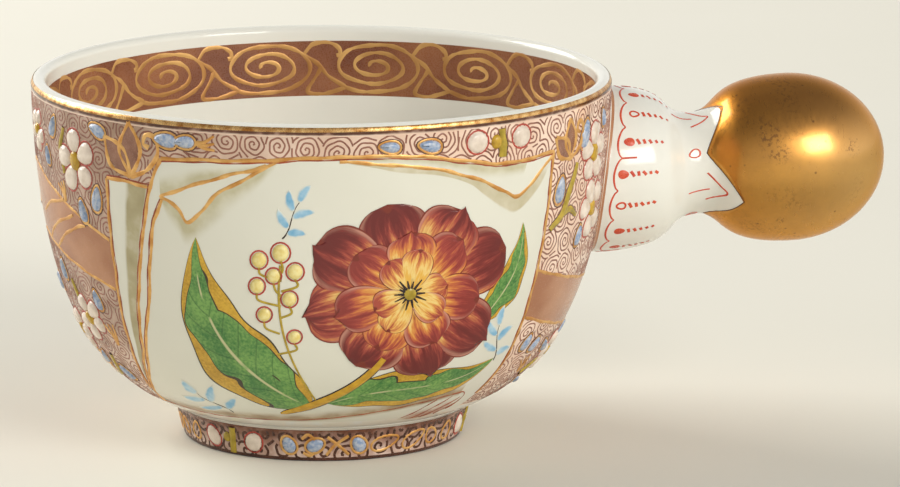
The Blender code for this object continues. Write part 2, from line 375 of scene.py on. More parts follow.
# Lip gilding: a line of gold burnished round the outside of the lip, above a soft brown edge that
# runs out on the pink ground. Here a turned surface is rolled out flat, so that all painting is set
# out flat, in millimetres, and then wrapped on.
GILT_LINE_WIDTH = 0.56
GILT_LINE_RISE = 0.06
GILT_LINE_LIFT = 0.04
BROWN_EDGE_WIDTH = 0.55
BROWN_EDGE_LIFT = 0.065
GRAIN_MM = 0.15
# A wash of pink: light and dark colour, size of its patches, and roughness.
PINK_GROUND = ("#F6DAC6", "#E8C6AE", 4.0, 0.16)


class Skin:
    """A turned surface rolled out: x runs round it and y up it, in millimetres, and z is off it."""

    def __init__(self, profile, axis, inside=False):
        self.profile = np.array(profile, float)
        lengths = np.hypot(*np.diff(self.profile, axis=0).T)
        self.run = np.concatenate([[0.0], np.cumsum(lengths)])
        slopes = np.gradient(self.profile, self.run, axis=0)
        self.outward = np.stack([slopes[:, 1], -slopes[:, 0]], 1)
        self.axis = axis
        self.side = -1 if inside else 1
        self.girth = self.profile[:, 0].max()

    def radius_at(self, y):
        return np.interp(y, self.run, self.profile[:, 0])

    def lay(self, mesh):
        """Wrap a flat mesh on to the surface."""
        flat = np.empty(3 * len(mesh.vertices), np.float32)
        mesh.vertices.foreach_get("co", flat)
        x, y, lift = flat.reshape(-1, 3).T
        radius, height = (np.interp(y, self.run, column) for column in self.profile.T)
        out, up = (np.interp(y, self.run, column) * self.side for column in self.outward.T)
        angle = self.side * x / self.girth
        radius = radius + lift * out
        wrapped = np.stack([radius * np.cos(angle), radius * np.sin(angle), height + lift * up], 1)
        mesh.vertices.foreach_set("co", wrapped.ravel())
        mesh.transform(self.axis)
        return mesh


def paint(skin, slot, *layers):
    """Wrap painted layers on a skin: each is a piece's name, its flat mesh and its finish."""
    for name, mesh, finish in layers:
        piece(name, skin.lay(mesh), finish, slot)


def sheets(columns, rows, places):
    """Thin flat sheets, each a grid that place(across, up) sets out. The grid is also its UV map, and
    the sheet's own number is added to the first coordinate."""
    bm = bmesh.new()
    brush = bm.loops.layers.uv.new("brush")
    for number, place in enumerate(places):
        made = bmesh.ops.create_grid(bm, x_segments=columns, y_segments=rows, size=0.5,
                                     calc_uvs=True)["verts"]
        share = np.array([vert.co for vert in made]) + 0.5
        spots = np.stack(np.broadcast_arrays(*place(share[:, 0], share[:, 1])), 1)
        for vert, spot in zip(made, spots):
            vert.co = spot
            for loop in vert.link_loops:
                loop[brush].uv.x += number
    return finished(bm)


def hoop(skin, low, high, lift):
    """The setting-out of a band all the way round a skin."""
    return lambda across, up: (across * math.tau * skin.girth, low + (high - low) * up, lift)


def pooled(tree, place, light, dark, patch_mm):
    """A colour that pools into thick and thin patches, and the pattern that it follows."""
    patches = add(tree, "TexNoise", {"Vector": place, "Scale": 1 / (patch_mm * MM), "Detail": 3.0})
    depth = add(tree, "MapRange", (patches, 0.34, 0.66))
    return add(tree, "Mix", (depth, light, dark), data_type="RGBA"), patches


def mottled(name, light, dark, patch_mm, roughness, metallic=0.0):
    """Colour that was brushed on and fired: it pools into thick and thin patches with a fine grain."""
    material, tree, shader, place = new_finish(name)
    colour, _ = pooled(tree, place, light, dark, patch_mm)
    grain = add(tree, "TexNoise", {"Vector": place, "Scale": 1 / (GRAIN_MM * MM), "Detail": 1.0})
    rough = add(tree, "MapRange", (grain, 0.3, 0.7, 0.75 * roughness, 1.25 * roughness))
    bump = add(tree, "Bump", {"Height": grain, "Strength": 0.25, "Distance": 0.04 * MM})
    add(tree, shader, {"Base Color": colour, "Metallic": metallic, "Roughness": rough, "Normal": bump})
    return material


def brush_grid(tree):
    """A sheet's own UV map, the distance from its nearer side, and its separate coordinates."""
    grid = add(tree, "UVMap", {}, uv_map="brush")
    parts = add(tree, "SeparateXYZ", (grid,)).node.outputs
    return grid, add(tree, "Math", (parts["X"], 0.5), operation="PINGPONG"), parts


def washed(finish, light, dark, patch_mm, sides=0.0, base=0.0, tip=0.0, bare_sides=0.0):
    """Lay a thin wash over a finish. It runs out to nothing over the given shares of its sheet, at its
    two sides, which may stay bare first, its base and its tip."""
    tree = finish.node_tree
    shader = tree.nodes["Principled BSDF"]
    bare = shader.inputs["Base Color"].links[0].from_socket
    colour, blots = pooled(tree, add(tree, "TexCoord", {}, "Object"), light, dark, patch_mm)
    _, from_side, parts = brush_grid(tree)
    from_tip = add(tree, "Math", (1.0, parts["Y"]), operation="SUBTRACT")
    cover = add(tree, "MapRange", (blots, 0.3, 0.7, 0.8, 1.5))
    runs = ((from_side, bare_sides, sides), (parts["Y"], 0.0, base), (from_tip, 0.0, tip))
    for distance, bare_share, share in runs:
        if share:
            near = add(tree, "MapRange", (distance, bare_share, share), interpolation_type="SMOOTHSTEP")
            cover = add(tree, "Math", (cover, near), operation="MULTIPLY")
    laid = add(tree, "Mix", (cover, bare, colour), data_type="RGBA")
    add(tree, shader, {"Base Color": laid})
    return finish


wall = Skin([*outer_wall, *outer_lip[1:]], CUP_AXIS)
WALL_TOP = float(np.interp(LIP_Z, wall.profile[:, 1], wall.run))
GILT_LOW = WALL_TOP + GILT_LINE_RISE
lip_gold = mottled("burnished_lip_gold", "#EBC080", "#AC7234", 1.0, 0.3, metallic=0.8)
brown_edge = washed(mottled("brown_edge_on_pink", *PINK_GROUND), "#6A4230", "#4C2C1E", 1.5, base=0.7)
gilt_lip = hoop(wall, GILT_LOW, GILT_LOW + GILT_LINE_WIDTH, GILT_LINE_LIFT)
brown_lip = hoop(wall, GILT_LOW - BROWN_EDGE_WIDTH, GILT_LOW, BROWN_EDGE_LIFT)
paint(wall, "gilt_porcelain", ("lip_gilding", sheets(CUP_SEGMENTS, 5, [gilt_lip]), lip_gold))
paint(wall, "bowl_porcelain", ("lip_brown_edge", sheets(CUP_SEGMENTS, 4, [brown_lip]), brown_edge))

# Inner band: a brown wash under the lip on the inside, with a running scroll of gold spirals
# drawn over it with a brush, fifteen to the round. A branch leaves each spiral near its top and
# sweeps under the next one.
INNER_BAND_TOP = 0.75
INNER_BAND_DEPTH = 7.1
INNER_BAND_SAG = 0.3
INNER_BAND_LIFT = 0.03
SCROLLS = 15
SCROLL_START = 0.07
SCROLL_TURNS = 3.15
SCROLL_EYE_TURNS = 0.3
SCROLL_BRANCH_TURNS = 0.45
SCROLL_END_DEG = -125.0
SCROLL_HALF_WIDTH = 6.6
SCROLL_HALF_HEIGHT = 3.45
SCROLL_RISE = 0.3
SCROLL_LINE = 0.52


def smooth(points, fine=8):
    """Points closer together on a curve through the given ones."""
    p = np.array(points, float)
    p = np.vstack([2 * p[0] - p[1], p, 2 * p[-1] - p[-2]])
    t = np.linspace(0, 1, fine, endpoint=False)[:, None]
    parts = []
    for a, b, c, d in zip(p, p[1:], p[2:], p[3:]):
        parts.append(b + t * (c - a) / 2 + t ** 2 * (2 * a - 5 * b + 4 * c - d) / 2
                     + t ** 3 * (3 * b - a - 3 * c + d) / 2)
    return np.vstack(parts + [p[-2]])


def by_hand(line, sway, uneven=0.16):
    """A line as a hand draws it: it sways a little, and the brush swells and thins along it."""
    line = np.asarray(line, float)
    run = np.concatenate([[0.0], np.cumsum(np.hypot(*np.diff(line[:, :2], axis=0).T))])
    start = 3.1 * line[0, 0] + 1.7 * line[0, 1]
    aside = np.stack([np.sin(1.3 * run + start), np.sin(1.1 * run + 2 * start)], 1)
    swell = 1 + uneven * np.sin(1.7 * run + start) + 0.5 * uneven * np.sin(4.1 * run)
    return np.column_stack([line[:, :2] + sway * aside, swell])


def drawn(strokes, width, height, lift, rounded=0, closed=False):
    """Flat beads of colour along strokes, without an underside; a third number swells the brush."""
    curve = bpy.data.curves.new("strokes", "CURVE")
    curve.dimensions = "3D"
    curve.twist_mode = "Z_UP"
    curve.bevel_depth = width / 2
    curve.bevel_resolution = rounded
    for stroke in strokes:
        stroke = np.array(stroke, float)
        spline = curve.splines.new("POLY")
        spline.points.add(len(stroke) - 1)
        places = np.zeros((len(stroke), 4))
        places[:, :2] = stroke[:, :2]
        places[:, 3] = 1
        spline.points.foreach_set("co", places.ravel())
        if stroke.shape[1] > 2:
            spline.points.foreach_set("radius", stroke[:, 2].copy())
        spline.use_cyclic_u = closed
    holder = bpy.data.objects.new("strokes", curve)
    mesh = bpy.data.meshes.new_from_object(holder)
    bm = bmesh.new()
    bm.from_mesh(mesh)
    bpy.data.objects.remove(holder)
    bpy.data.curves.remove(curve)
    bpy.data.meshes.remove(mesh)
    under = [vert for vert in bm.verts if vert.co.z < -0.001 * width]
    bmesh.ops.delete(bm, geom=under, context="VERTS")
    for vert in bm.verts:
        vert.co.z = lift + vert.co.z * 2 * height / width
    return finished(bm)


inside = Skin(inner_wall, CUP_AXIS, inside=True)
band_top = float(inside.run[-1]) - INNER_BAND_TOP
band_low = band_top - INNER_BAND_DEPTH


def band_sag(x):
    """How far the band hangs out of level, lowest on the side away from the handle."""
    return INNER_BAND_SAG * (1 - np.cos(x / inside.girth))


def band_sheet(across, up):
    x, y, lift = hoop(inside, band_low, band_top, INNER_BAND_LIFT)(across, up)
    return x, y - band_sag(x), lift


scroll_pitch = math.tau * inside.girth / SCROLLS
turns = np.linspace(SCROLL_EYE_TURNS, SCROLL_TURNS, 120)
spiral_angle = math.radians(SCROLL_END_DEG) - math.tau * (turns - SCROLL_TURNS)
spiral = np.stack([SCROLL_HALF_WIDTH * np.cos(spiral_angle), SCROLL_HALF_HEIGHT * np.sin(spiral_angle)], 1)
spiral = spiral * (turns / SCROLL_TURNS)[:, None] + (0, SCROLL_RISE)
fork = spiral[np.searchsorted(turns, SCROLL_TURNS - SCROLL_BRANCH_TURNS)]
next_end = spiral[-1] + (scroll_pitch, 0)
branch = smooth([fork, (6.7, 0.7), (8.2, -1.0), next_end])
gusset = smooth([(7.2, 0.1), (6.3, -1.5), (5.5, -3.1), (7.4, -3.3), next_end])
hook = smooth([fork + (0.2, 0.1), (6.2, 3.2), (8.2, 3.3), (9.6, 2.6), (9.7, 1.8), (9.2, 1.7)])
scroll_strokes = []
for number in range(SCROLLS):
    middle = np.array(((number + SCROLL_START) * scroll_pitch, (band_top + band_low) / 2))
    for stroke in (spiral, branch, gusset, hook):
        scroll = by_hand(middle + stroke, 0.06, 0.2)
        scroll[:, 1] -= band_sag(scroll[:, 0])
        scroll_strokes.append(scroll)
brown_wash = mottled("brown_enamel_wash", "#9C6442", "#78442E", 9.0, 0.3)
worn_gilding = mottled("worn_gilding", "#E8B872", "#AC7840", 7.0, 0.4, metallic=0.5)
scrolls = drawn(scroll_strokes, SCROLL_LINE, 0.03, rounded=1, lift=INNER_BAND_LIFT)
paint(inside, "bowl_porcelain", ("inner_band", sheets(CUP_SEGMENTS, 8, [band_sheet]), brown_wash))
paint(inside, "gilt_porcelain", ("inner_scrolls", scrolls, worn_gilding))

# Ground of the outside: a pale pink wash from the lip to the foot, covered with fine coils of
# mauve line. The coils leave room for the panels, the narrow strips and the sashes, which are
# the same on the front and on the back. Depths are below the lip, and angles from a panel's middle.
GROUND_TOP = 0.45
GROUND_LOW = 41.6
COIL_SPACING = 3.4
COIL_PITCH = 0.58
COIL_LINE = 0.23
WASH_LIFT = 0.015
PANEL_FACINGS = (-90, 90)
PANEL_DEPTHS = (4.0, 9.0, 12.0, 23.0, 33.0, 38.5, 42.5)
PANEL_LEFT = (-40.5, -44.0, -45.3, -50.0, -57.0, -62.4, -66.0)
PANEL_RIGHT = (43.8, 43.5, 43.3, 42.3, 41.7, 39.5, 38.0)
PANEL_TOP_ANGLES = (-42, -34, -22, -10, 2, 12, 20, 28, 33, 44)
PANEL_TOP_DEPTHS = (4.25, 3.85, 3.6, 3.05, 2.95, 3.3, 4.2, 5.15, 5.3, 4.9)
PANEL_LOW = 42.5
STRIP_DEPTHS = (7.0, 20.0, 30.0, 35.5, 38.0)
STRIP_LEFT = (-54.75, -55.5, -58.0, -60.8, -62.6)
STRIP_RIGHT = (-43.0, -48.6, -53.5, -58.8, -62.4)
STRIP_ENDS = (7.6, 37.8)
COILS_OFF_BELL = 0.3
# Sashes: depths of their two edges at the middle or the ends, how far these fall, and over what angle.
SIDE_SASH_DEPTHS = (8.7, 17.6)
SIDE_SASH_FALLS = (7.1, 4.7)
SIDE_SASH_ANGLE = 35.0
HANDLE_SASH_DEPTHS = (20.0, 26.4)
HANDLE_SASH_SAG = 4.6
HANDLE_SASH_ANGLE = 47.0
SASH_REACH = 49.0


def panel_top(rel):
    """Depth of a panel's top edge, at degrees from its middle."""
    return np.interp(rel, PANEL_TOP_ANGLES, PANEL_TOP_DEPTHS)


def panel_sides(depth):
    """Left and right edges of a panel at a depth, in degrees from its middle."""
    return np.interp(depth, PANEL_DEPTHS, PANEL_LEFT), np.interp(depth, PANEL_DEPTHS, PANEL_RIGHT)


def strip_sides(depth):
    """Left and right edges of the strip beside a panel, in the same degrees."""
    return np.interp(depth, STRIP_DEPTHS, STRIP_LEFT), np.interp(depth, STRIP_DEPTHS, STRIP_RIGHT)


def side_sash(rel):
    """Upper and lower depths of the sash between the panels, at degrees from the middle of its field."""
    (upper, lower), (upper_fall, lower_fall) = SIDE_SASH_DEPTHS, SIDE_SASH_FALLS
    share = np.abs(rel) / SIDE_SASH_ANGLE
    return upper + upper_fall * share ** 1.15, lower + lower_fall * share


def handle_sash(rel):
    """Upper and lower depths of the sash that hangs under the bell."""
    sag = HANDLE_SASH_SAG * (1 - (rel / HANDLE_SASH_ANGLE) ** 2)
    return HANDLE_SASH_DEPTHS[0] + sag, HANDLE_SASH_DEPTHS[1] + sag


SASHES = ((180, side_sash), (0, handle_sash))


def relative(angle, middle):
    """Degrees of an angle from a middle, from -180 to 180."""
    return (angle - middle + 180) % 360 - 180


def off_sheets(angle, depth):
    """Whether points are clear of the panels and the strips."""
    clear = (depth > GROUND_TOP) & (depth < GROUND_LOW)
    for facing in PANEL_FACINGS:
        rel = relative(angle, facing)
        left, right = panel_sides(depth)
        clear &= ~((rel > left) & (rel < right) & (depth > panel_top(rel)))
        left, right = strip_sides(depth)
        clear &= ~((rel > left) & (rel < right) & (depth > STRIP_ENDS[0]) & (depth < STRIP_ENDS[1]))
    return clear


def off_bell(angle, depth):
    """Distance in millimetres along the wall from the edge of the bell's mouth."""
    from_axis = np.hypot(np.radians(relative(angle, 0)) * HANDLE_WALL, depth - (LIP_Z - HANDLE_Z))
    return from_axis - MOUTH_RADIUS


def wall_field(x, y):
    """Whether flat points are clear of the panels, strips, sashes and the bell."""
    angle, depth = np.degrees(x / wall.girth), WALL_TOP - y
    clear = off_sheets(angle, depth) & (off_bell(angle, depth) > COILS_OFF_BELL)
    for middle, sash in SASHES:
        rel = relative(angle, middle)
        upper, lower = sash(rel)
        clear &= ~((depth > upper) & (depth < lower) & (np.abs(rel) < SASH_REACH))
    return clear


def coils(skin, low, high, spacing, pitch, inside_field, seed):
    """Spiral strokes side by side, each from its own middle out to where it meets the next ones."""
    dice = np.random.default_rng(seed)
    middles = []
    rows = round((high - low) / (0.87 * spacing))
    for row in range(rows):
        y = low + (row + 0.5) * (high - low) / rows
        count = round(math.tau * skin.radius_at(y) / spacing)
        for column in range(count):
            share = (column + 0.5 * (row % 2)) / count
            middles.append((share * math.tau * skin.girth, y))
    middles = np.array(middles) + dice.uniform(-0.2, 0.2, (len(middles), 2)) * spacing
    reach = 1.1 * spacing
    steps = int(reach ** 2 * math.pi / pitch / 0.2)
    angle = np.sqrt(np.linspace(0.4, (math.tau * reach / pitch) ** 2, steps))
    strokes = []
    for number, middle in enumerate(middles):
        squeeze = np.array((skin.radius_at(middle[1]) / skin.girth, 1.0))
        gaps = (middles - middle) * squeeze
        near = gaps[np.hypot(*gaps.T) < 2.6 * spacing]
        turn = angle * (1 if number % 3 else -1) + dice.uniform(0, math.tau)
        wobble = 1 + 0.07 * np.sin(2 * turn + number) + 0.04 * np.sin(5.3 * angle + 2 * number)
        points = np.stack([np.cos(turn), np.sin(turn)], 1) * (wobble * pitch * angle / math.tau)[:, None]
        distance = np.hypot(*(points[:, None, :] - near[None, :, :]).transpose(2, 0, 1))
        own = distance.min(1) > np.hypot(*points.T) - 0.06
        flat = middle + points / squeeze
        own &= inside_field(flat[:, 0], flat[:, 1])
        breaks = np.flatnonzero(np.diff(own.astype(int))) + 1
        for part, kept in zip(np.split(flat, breaks), np.split(own, breaks)):
            if kept[0] and len(part) > 4:
                strokes.append(part)
    return strokes


# Painted shade: a darker wash on the side away from the handle, fading towards the handle and the foot.
pink_wash_and_side_shade = washed(mottled("pale_pink_ground_with_side_shade", *PINK_GROUND), "#B89A88", "#A4856F", 5.0, bare_sides=0.16,
                   sides=0.52, base=0.42)
mauve_line = mottled("mauve_enamel_line", "#A27260", "#825242", 5.0, 0.25)
ground_ends = WALL_TOP - GROUND_LOW, WALL_TOP - GROUND_TOP
coil_strokes = coils(wall, *ground_ends, COIL_SPACING, COIL_PITCH, wall_field, 4)
paint(wall, "bowl_porcelain",
      ("wall_wash", sheets(CUP_SEGMENTS, 48, [hoop(wall, *ground_ends, WASH_LIFT)]), pink_wash_and_side_shade),
      ("wall_coils", drawn(coil_strokes, COIL_LINE, 0.05, lift=0.01), mauve_line))

# Panels: two sheets of plain white with the outline of folded paper, one on each side, and beside
# each a narrow strip. Gold lines with a fine red-brown edge frame them, soft celadon shades the
# folds, and a corner turns over where the lower line ends.
FRAME_LINE = 0.48
EDGE_LINE = 0.2
EDGE_ASIDE = 0.32
EDGE_BELOW = 0.3
SHEET_LIFT = 0.035
SHADE_LIFT = 0.045
SHADED_STRIP = 0.44
# Painted shade: the panels' white is a darker copy of the body's porcelain, laid evenly over both panels.
PANEL_WHITE_IN_SHADE = ("#E5E3D6", "#DDDBCC")
FRAME_LEFT = (-40.0, -40.4, -43.0, -47.0, -54.8, -62.0, -65.0)
FRAME_LEFT_ENDS = (9.2, 41.2)
FRAME_RIGHT_ENDS = (4.9, 38.4)
# Lines of the folds and of the turned corner, as (degrees from the panel's middle, depth).
LEFT_FOLD = [(-41.0, 9.0), (-39.0, 9.3), (-37.0, 10.2), (-35.0, 11.8), (-31.75, 10.0), (-28.0, 7.65),
             (-22.25, 5.7), (-19.5, 4.6), (-16.0, 3.4)]
LEFT_FOLD_TOP = [(-41.0, 9.0), (-39.75, 8.5), (-32.5, 6.8), (-25.75, 5.4), (-21.75, 4.8), (-18.5, 4.0)]
LEFT_FOLD_SHADE = [(-41.0, 9.4), (-39.5, 12.0), (-37.5, 13.6), (-35.3, 15.0), (-29.0, 12.2), (-25.0, 9.8),
                   (-21.0, 7.6), (-17.5, 5.2), (-16.0, 3.6)]
LEFT_TOP_SHADE = [(-41.0, 6.0), (-37.0, 5.2), (-32.5, 4.6), (-25.75, 4.2), (-21.75, 4.0), (-18.5, 3.8)]
RIGHT_FOLD = [(-4.5, 3.5), (2.0, 3.9), (7.25, 4.3), (13.25, 4.8), (19.75, 5.9), (24.25, 6.9), (30.25, 8.7),
              (33.6, 9.7), (37.0, 8.5), (43.25, 5.5)]
RIGHT_FOLD_BACK = [(-4.5, 3.7), (2.0, 4.4), (7.25, 5.2), (15.5, 5.9), (22.0, 7.3), (25.75, 9.1),
                   (30.5, 11.1), (34.2, 11.6), (40.0, 9.0), (43.25, 5.9)]
RIGHT_TOP_LINE = [(-3.0, 3.1), (8.0, 3.3), (14.0, 3.6), (20.0, 4.4), (28.0, 5.4), (36.0, 5.4)]
RIGHT_TOP_SHADE = [(-3.0, 3.5), (8.0, 4.3), (14.0, 4.9), (20.0, 5.9), (27.0, 7.1), (35.0, 7.2)]
LOW_LINE = [(-65, 41.0), (-47, 42.3), (-30, 42.2), (-13, 41.7), (2, 40.4), (16, 38.9), (26, 37.8),
            (32, 37.4)]
LOW_SHADE_TOP = [(rel, depth - 2.6) for rel, depth in LOW_LINE]
LOW_SHADE_END = [(rel, min(depth + 1.0, PANEL_LOW)) for rel, depth in LOW_LINE]
CORNER_TIP = [(29.0, 37.5), (32.6, 37.3), (34.3, 38.2), (34.1, 39.7), (32.6, 41.5)]
CORNER_HATCHES = ([(17.5, 42.6), (21.5, 40.4), (25.0, 38.2)], [(21.5, 43.2), (25.7, 40.6), (29.8, 37.9)],
                  [(25.0, 43.2), (29.4, 40.8), (33.3, 38.5)], [(29.5, 42.6), (32.0, 41.2), (33.9, 39.8)])
CORNER_TOP = [(16.0, 40.4), (22.0, 39.4), (28.0, 38.5), (34.0, 37.9)]
CORNER_LOW = [(17.0, 43.4), (23.0, 43.4), (29.0, 42.6), (34.4, 39.4)]
FRAME_SHOULDER = [(-40.5, 4.2), (-42.0, 5.8), (-43.3, 8.0)]
STRIP_TOP = [(-54.6, 7.5), (-49.0, 7.6), (-43.2, 7.9)]


def at(angle, depth):
    """Flat place of an angle round the cup and a depth below the lip."""
    return np.stack(np.broadcast_arrays(np.radians(angle) * wall.girth, WALL_TOP - np.asarray(depth)), -1)


def traced(facing, points):
    """Flat line through points of (degrees from a panel's middle, depth below the lip)."""
    line = smooth(points)
    return at(facing + line[:, 0], line[:, 1])


def edge_of(facing, depths, rels, start, end):
    """Flat line down an edge of a panel or strip, from one depth to another."""
    steps = np.linspace(start, end, 60)
    return at(facing + np.interp(steps, depths, rels), steps)


def panel_sheet(facing):
    """The setting-out of a panel, whose sides are drawn to its own top edge."""
    def place(across, up):
        left, right = panel_sides(PANEL_LOW + (PANEL_DEPTHS[0] - PANEL_LOW) * up)
        rel = left + (right - left) * across
        return *at(facing + rel, PANEL_LOW + (panel_top(rel) - PANEL_LOW) * up).T, SHEET_LIFT
    return place


def strip_sheet(facing, from_share, lift):
    """The setting-out of a strip, or of the part of it to the right of a share of its width."""
    def place(across, up):
        depth = STRIP_ENDS[1] + (STRIP_ENDS[0] - STRIP_ENDS[1]) * up
        left, right = strip_sides(depth)
        angle = facing + left + (right - left) * (from_share + (1 - from_share) * across)
        return *at(angle, depth).T, lift
    return place


def between(facing, upper, lower):
    """The setting-out of a shade between two lines of (degrees, depth) points."""
    lines = traced(facing, lower), traced(facing, upper)

    def along(line, across):
        shares = np.linspace(0, 1, len(line))
        return np.stack([np.interp(across, shares, column) for column in line.T])

    def place(across, up):
        low, high = (along(line, across) for line in lines)
        return *(low + (high - low) * up), SHADE_LIFT
    return place


def shades(columns, rows, *pairs):
    """Shades between pairs of lines, on both panels."""
    return sheets(columns, rows, [between(facing, *pair) for facing in PANEL_FACINGS for pair in pairs])


def panel_shade(name, light, dark, patch_mm, **runs):
    """A wash on the white of the panels."""
    return washed(glazed_porcelain(name, *PANEL_WHITE_IN_SHADE), light, dark, patch_mm, **runs)


frame_strokes, edge_strokes = [], []
for facing in PANEL_FACINGS:
    rels = np.linspace(PANEL_LEFT[0], PANEL_RIGHT[0], 70)
    top = at(facing + rels, panel_top(rels))
    left = edge_of(facing, PANEL_DEPTHS, FRAME_LEFT, *FRAME_LEFT_ENDS)
    right = edge_of(facing, PANEL_DEPTHS, PANEL_RIGHT, *FRAME_RIGHT_ENDS)
    strip_left = edge_of(facing, STRIP_DEPTHS, STRIP_LEFT, *STRIP_ENDS)
    strip_right = edge_of(facing, STRIP_DEPTHS, STRIP_RIGHT, *STRIP_ENDS)
    shoulder, strip_top, *folds = (traced(facing, line) for line in (
        FRAME_SHOULDER, STRIP_TOP, LEFT_FOLD, LEFT_FOLD_TOP, RIGHT_FOLD))
    frame_strokes += [top, left, shoulder, right, strip_left, strip_right, strip_top, *folds]
    edge_strokes += [top - (0, EDGE_BELOW), left - (EDGE_ASIDE, 0), right - (EDGE_ASIDE, 0),
                     strip_left + (EDGE_ASIDE, 0), strip_right - (EDGE_ASIDE, 0),
                     strip_top + (0, EDGE_BELOW)]
    edge_strokes += [traced(facing, line) for line in (LOW_LINE, CORNER_TIP, *CORNER_HATCHES)]
gilding = mottled("brushed_gilding", "#E8B872", "#C88C46", 1.6, 0.4, metallic=0.5)
red_brown_line = mottled("red_brown_enamel_line", "#A8532E", "#8A3A20", 3.0, 0.3)
shaded_panel_glaze = glazed_porcelain("shaded_panel_porcelain", *PANEL_WHITE_IN_SHADE)
fold_celadon = panel_shade("celadon_fold_shade", "#D0CAAE", "#C0B896", 3.0, base=0.9)
back_celadon = panel_shade("celadon_fold_back", "#D3CAB0", "#C2B898", 3.0, sides=0.1, base=0.22)
strip_celadon = panel_shade("celadon_strip_shade", "#B9AE8A", "#A89C76", 3.0, sides=0.24)
low_umber = panel_shade("umber_line_shade", "#B49C7A", "#9C8462", 3.0, base=0.3, tip=0.72)
corner_rose = panel_shade("rose_corner_shade", "#C8A08A", "#B0836C", 1.5, sides=0.3, tip=0.9)
strips, strip_shades = (sheets(8, 40, [strip_sheet(facing, share, lift) for facing in PANEL_FACINGS])
                        for share, lift in ((0.0, SHEET_LIFT), (SHADED_STRIP, SHADE_LIFT)))
fold_shades = shades(48, 10, (LEFT_FOLD, LEFT_FOLD_SHADE), (LEFT_FOLD_TOP[::-1], LEFT_TOP_SHADE[::-1]),
                     (RIGHT_TOP_LINE, RIGHT_TOP_SHADE))
frame_lines = [by_hand(line, 0.05, 0.16) for line in frame_strokes]
edge_lines = [by_hand(line, 0.05, 0.3) for line in edge_strokes]
paint(wall, "bowl_porcelain",
      ("panel_sheets", sheets(64, 48, [panel_sheet(facing) for facing in PANEL_FACINGS]), shaded_panel_glaze),
      ("strip_sheets", strips, shaded_panel_glaze),
      ("fold_shades", fold_shades, fold_celadon),
      ("fold_backs", shades(48, 8, (RIGHT_FOLD, RIGHT_FOLD_BACK)), back_celadon),
      ("strip_shades", strip_shades, strip_celadon),
      ("low_line_shades", shades(60, 6, (LOW_SHADE_TOP, LOW_SHADE_END)), low_umber),
      ("corner_shades", shades(16, 6, (CORNER_TOP, CORNER_LOW)), corner_rose))
paint(wall, "gilt_porcelain",
      ("frame_gilding", drawn(frame_lines, FRAME_LINE, 0.09, rounded=1, lift=0.03), gilding))
paint(wall, "bowl_porcelain",
      ("frame_edges", drawn(edge_lines, EDGE_LINE, 0.07, lift=0.035), red_brown_line))

# Sashes: a dusty rose ribbon across each field, edged with gold. The one on the open side is
# gathered with gold arcs, and the one on the handle side hangs plain under the bell.
SASH_LINE = 0.42
SASH_LIFT = 0.025
SASH_GATHERS = ([(4.0, 14.9), (8.0, 13.7), (12.0, 12.9), (18.7, 12.0)],
                [(6.2, 18.0), (10.0, 16.4), (14.5, 15.2), (22.0, 13.6)],
                [(10.7, 18.8), (14.0, 17.5), (18.2, 16.2), (23.0, 15.0), (26.5, 14.6)])


def sash_sheet(middle, sash):
    """The setting-out of a sash, whose ends run on under the white sheets."""
    def place(across, up):
        rel = SASH_REACH * (2 * across - 1)
        upper, lower = sash(rel)
        return *at(middle + rel, lower + (upper - lower) * up).T, SASH_LIFT
    return place


sash_strokes = []
for middle, sash in SASHES:
    rels = np.linspace(-SASH_REACH, SASH_REACH, 120)
    for depths in sash(rels):
        sash_strokes.append(at(middle + rels, depths)[off_sheets(middle + rels, depths)])
for gather in SASH_GATHERS:
    for side in (1, -1):
        sash_strokes.append(traced(180, [(side * rel, depth) for rel, depth in gather]))
sash_rose = mottled("dusty_rose_enamel", "#BC8763", "#A46C4A", 7.0, 0.22)
sash_lines = [by_hand(line, 0.05, 0.16) for line in sash_strokes]
paint(wall, "bowl_porcelain", ("sashes", sheets(60, 10, [sash_sheet(*sash) for sash in SASHES]), sash_rose))
paint(wall, "gilt_porcelain",
      ("sash_gilding", drawn(sash_lines, SASH_LINE, 0.07, rounded=1, lift=0.02), gilding))

# Field flowers: thick enamels over the coils. White blossoms outlined in red round an olive
# middle, blue drops ringed with gold and a fine dark line, olive twigs, and palmettes and flames
# drawn in gold.
CLEAR_OF_BELL = 1.5
OUTLINE_POINTS = 16
BLOSSOM_PETALS = 5
BLOSSOM_SPOKE = 2.05
BLOSSOM_PETAL_WIDTH = 2.2
BLOSSOM_OUTLINE_MARGIN = 0.26
DROP_TAPER = 0.25
BUD_DEPTH = 2.2
BUD_ANGLES = (23.5, 34.2)
BUD_TWIG = [(29.2, 0.9), (29.5, 2.4), (29.4, 4.3)]
BUD_MIDDLE = (27.8, 2.4)
PALMETTE_LEAVES = (((-3.4, 3.6), 1.3), ((0.0, 5.4), 1.35))
PALMETTE_CURL = [(0, 0), (1.9, 0.8), (3.3, 2.4), (3.2, 4.1), (2.1, 4.4), (1.7, 3.5), (2.4, 3.1)]
FLAME_LEANS = (-0.9, 0.0, 0.8)


def swung(turn):
    """Rows that turn flat points anticlockwise by degrees."""
    swing = math.radians(turn)
    return np.array(((math.cos(swing), math.sin(swing)), (-math.sin(swing), math.cos(swing))))


def set_down(skin, points, angle, y, turn=0.0, size=1.0):
    """Carry a motif drawn round its own middle, in millimetres, to its place on a rolled-out skin."""
    points = np.array(points, float)
    moved = points[:, :2] @ swung(turn) * size
    moved[:, 0] *= skin.girth / skin.radius_at(y)
    moved += (math.radians(angle) * skin.girth, y)
    return np.column_stack([moved, points[:, 2:]])


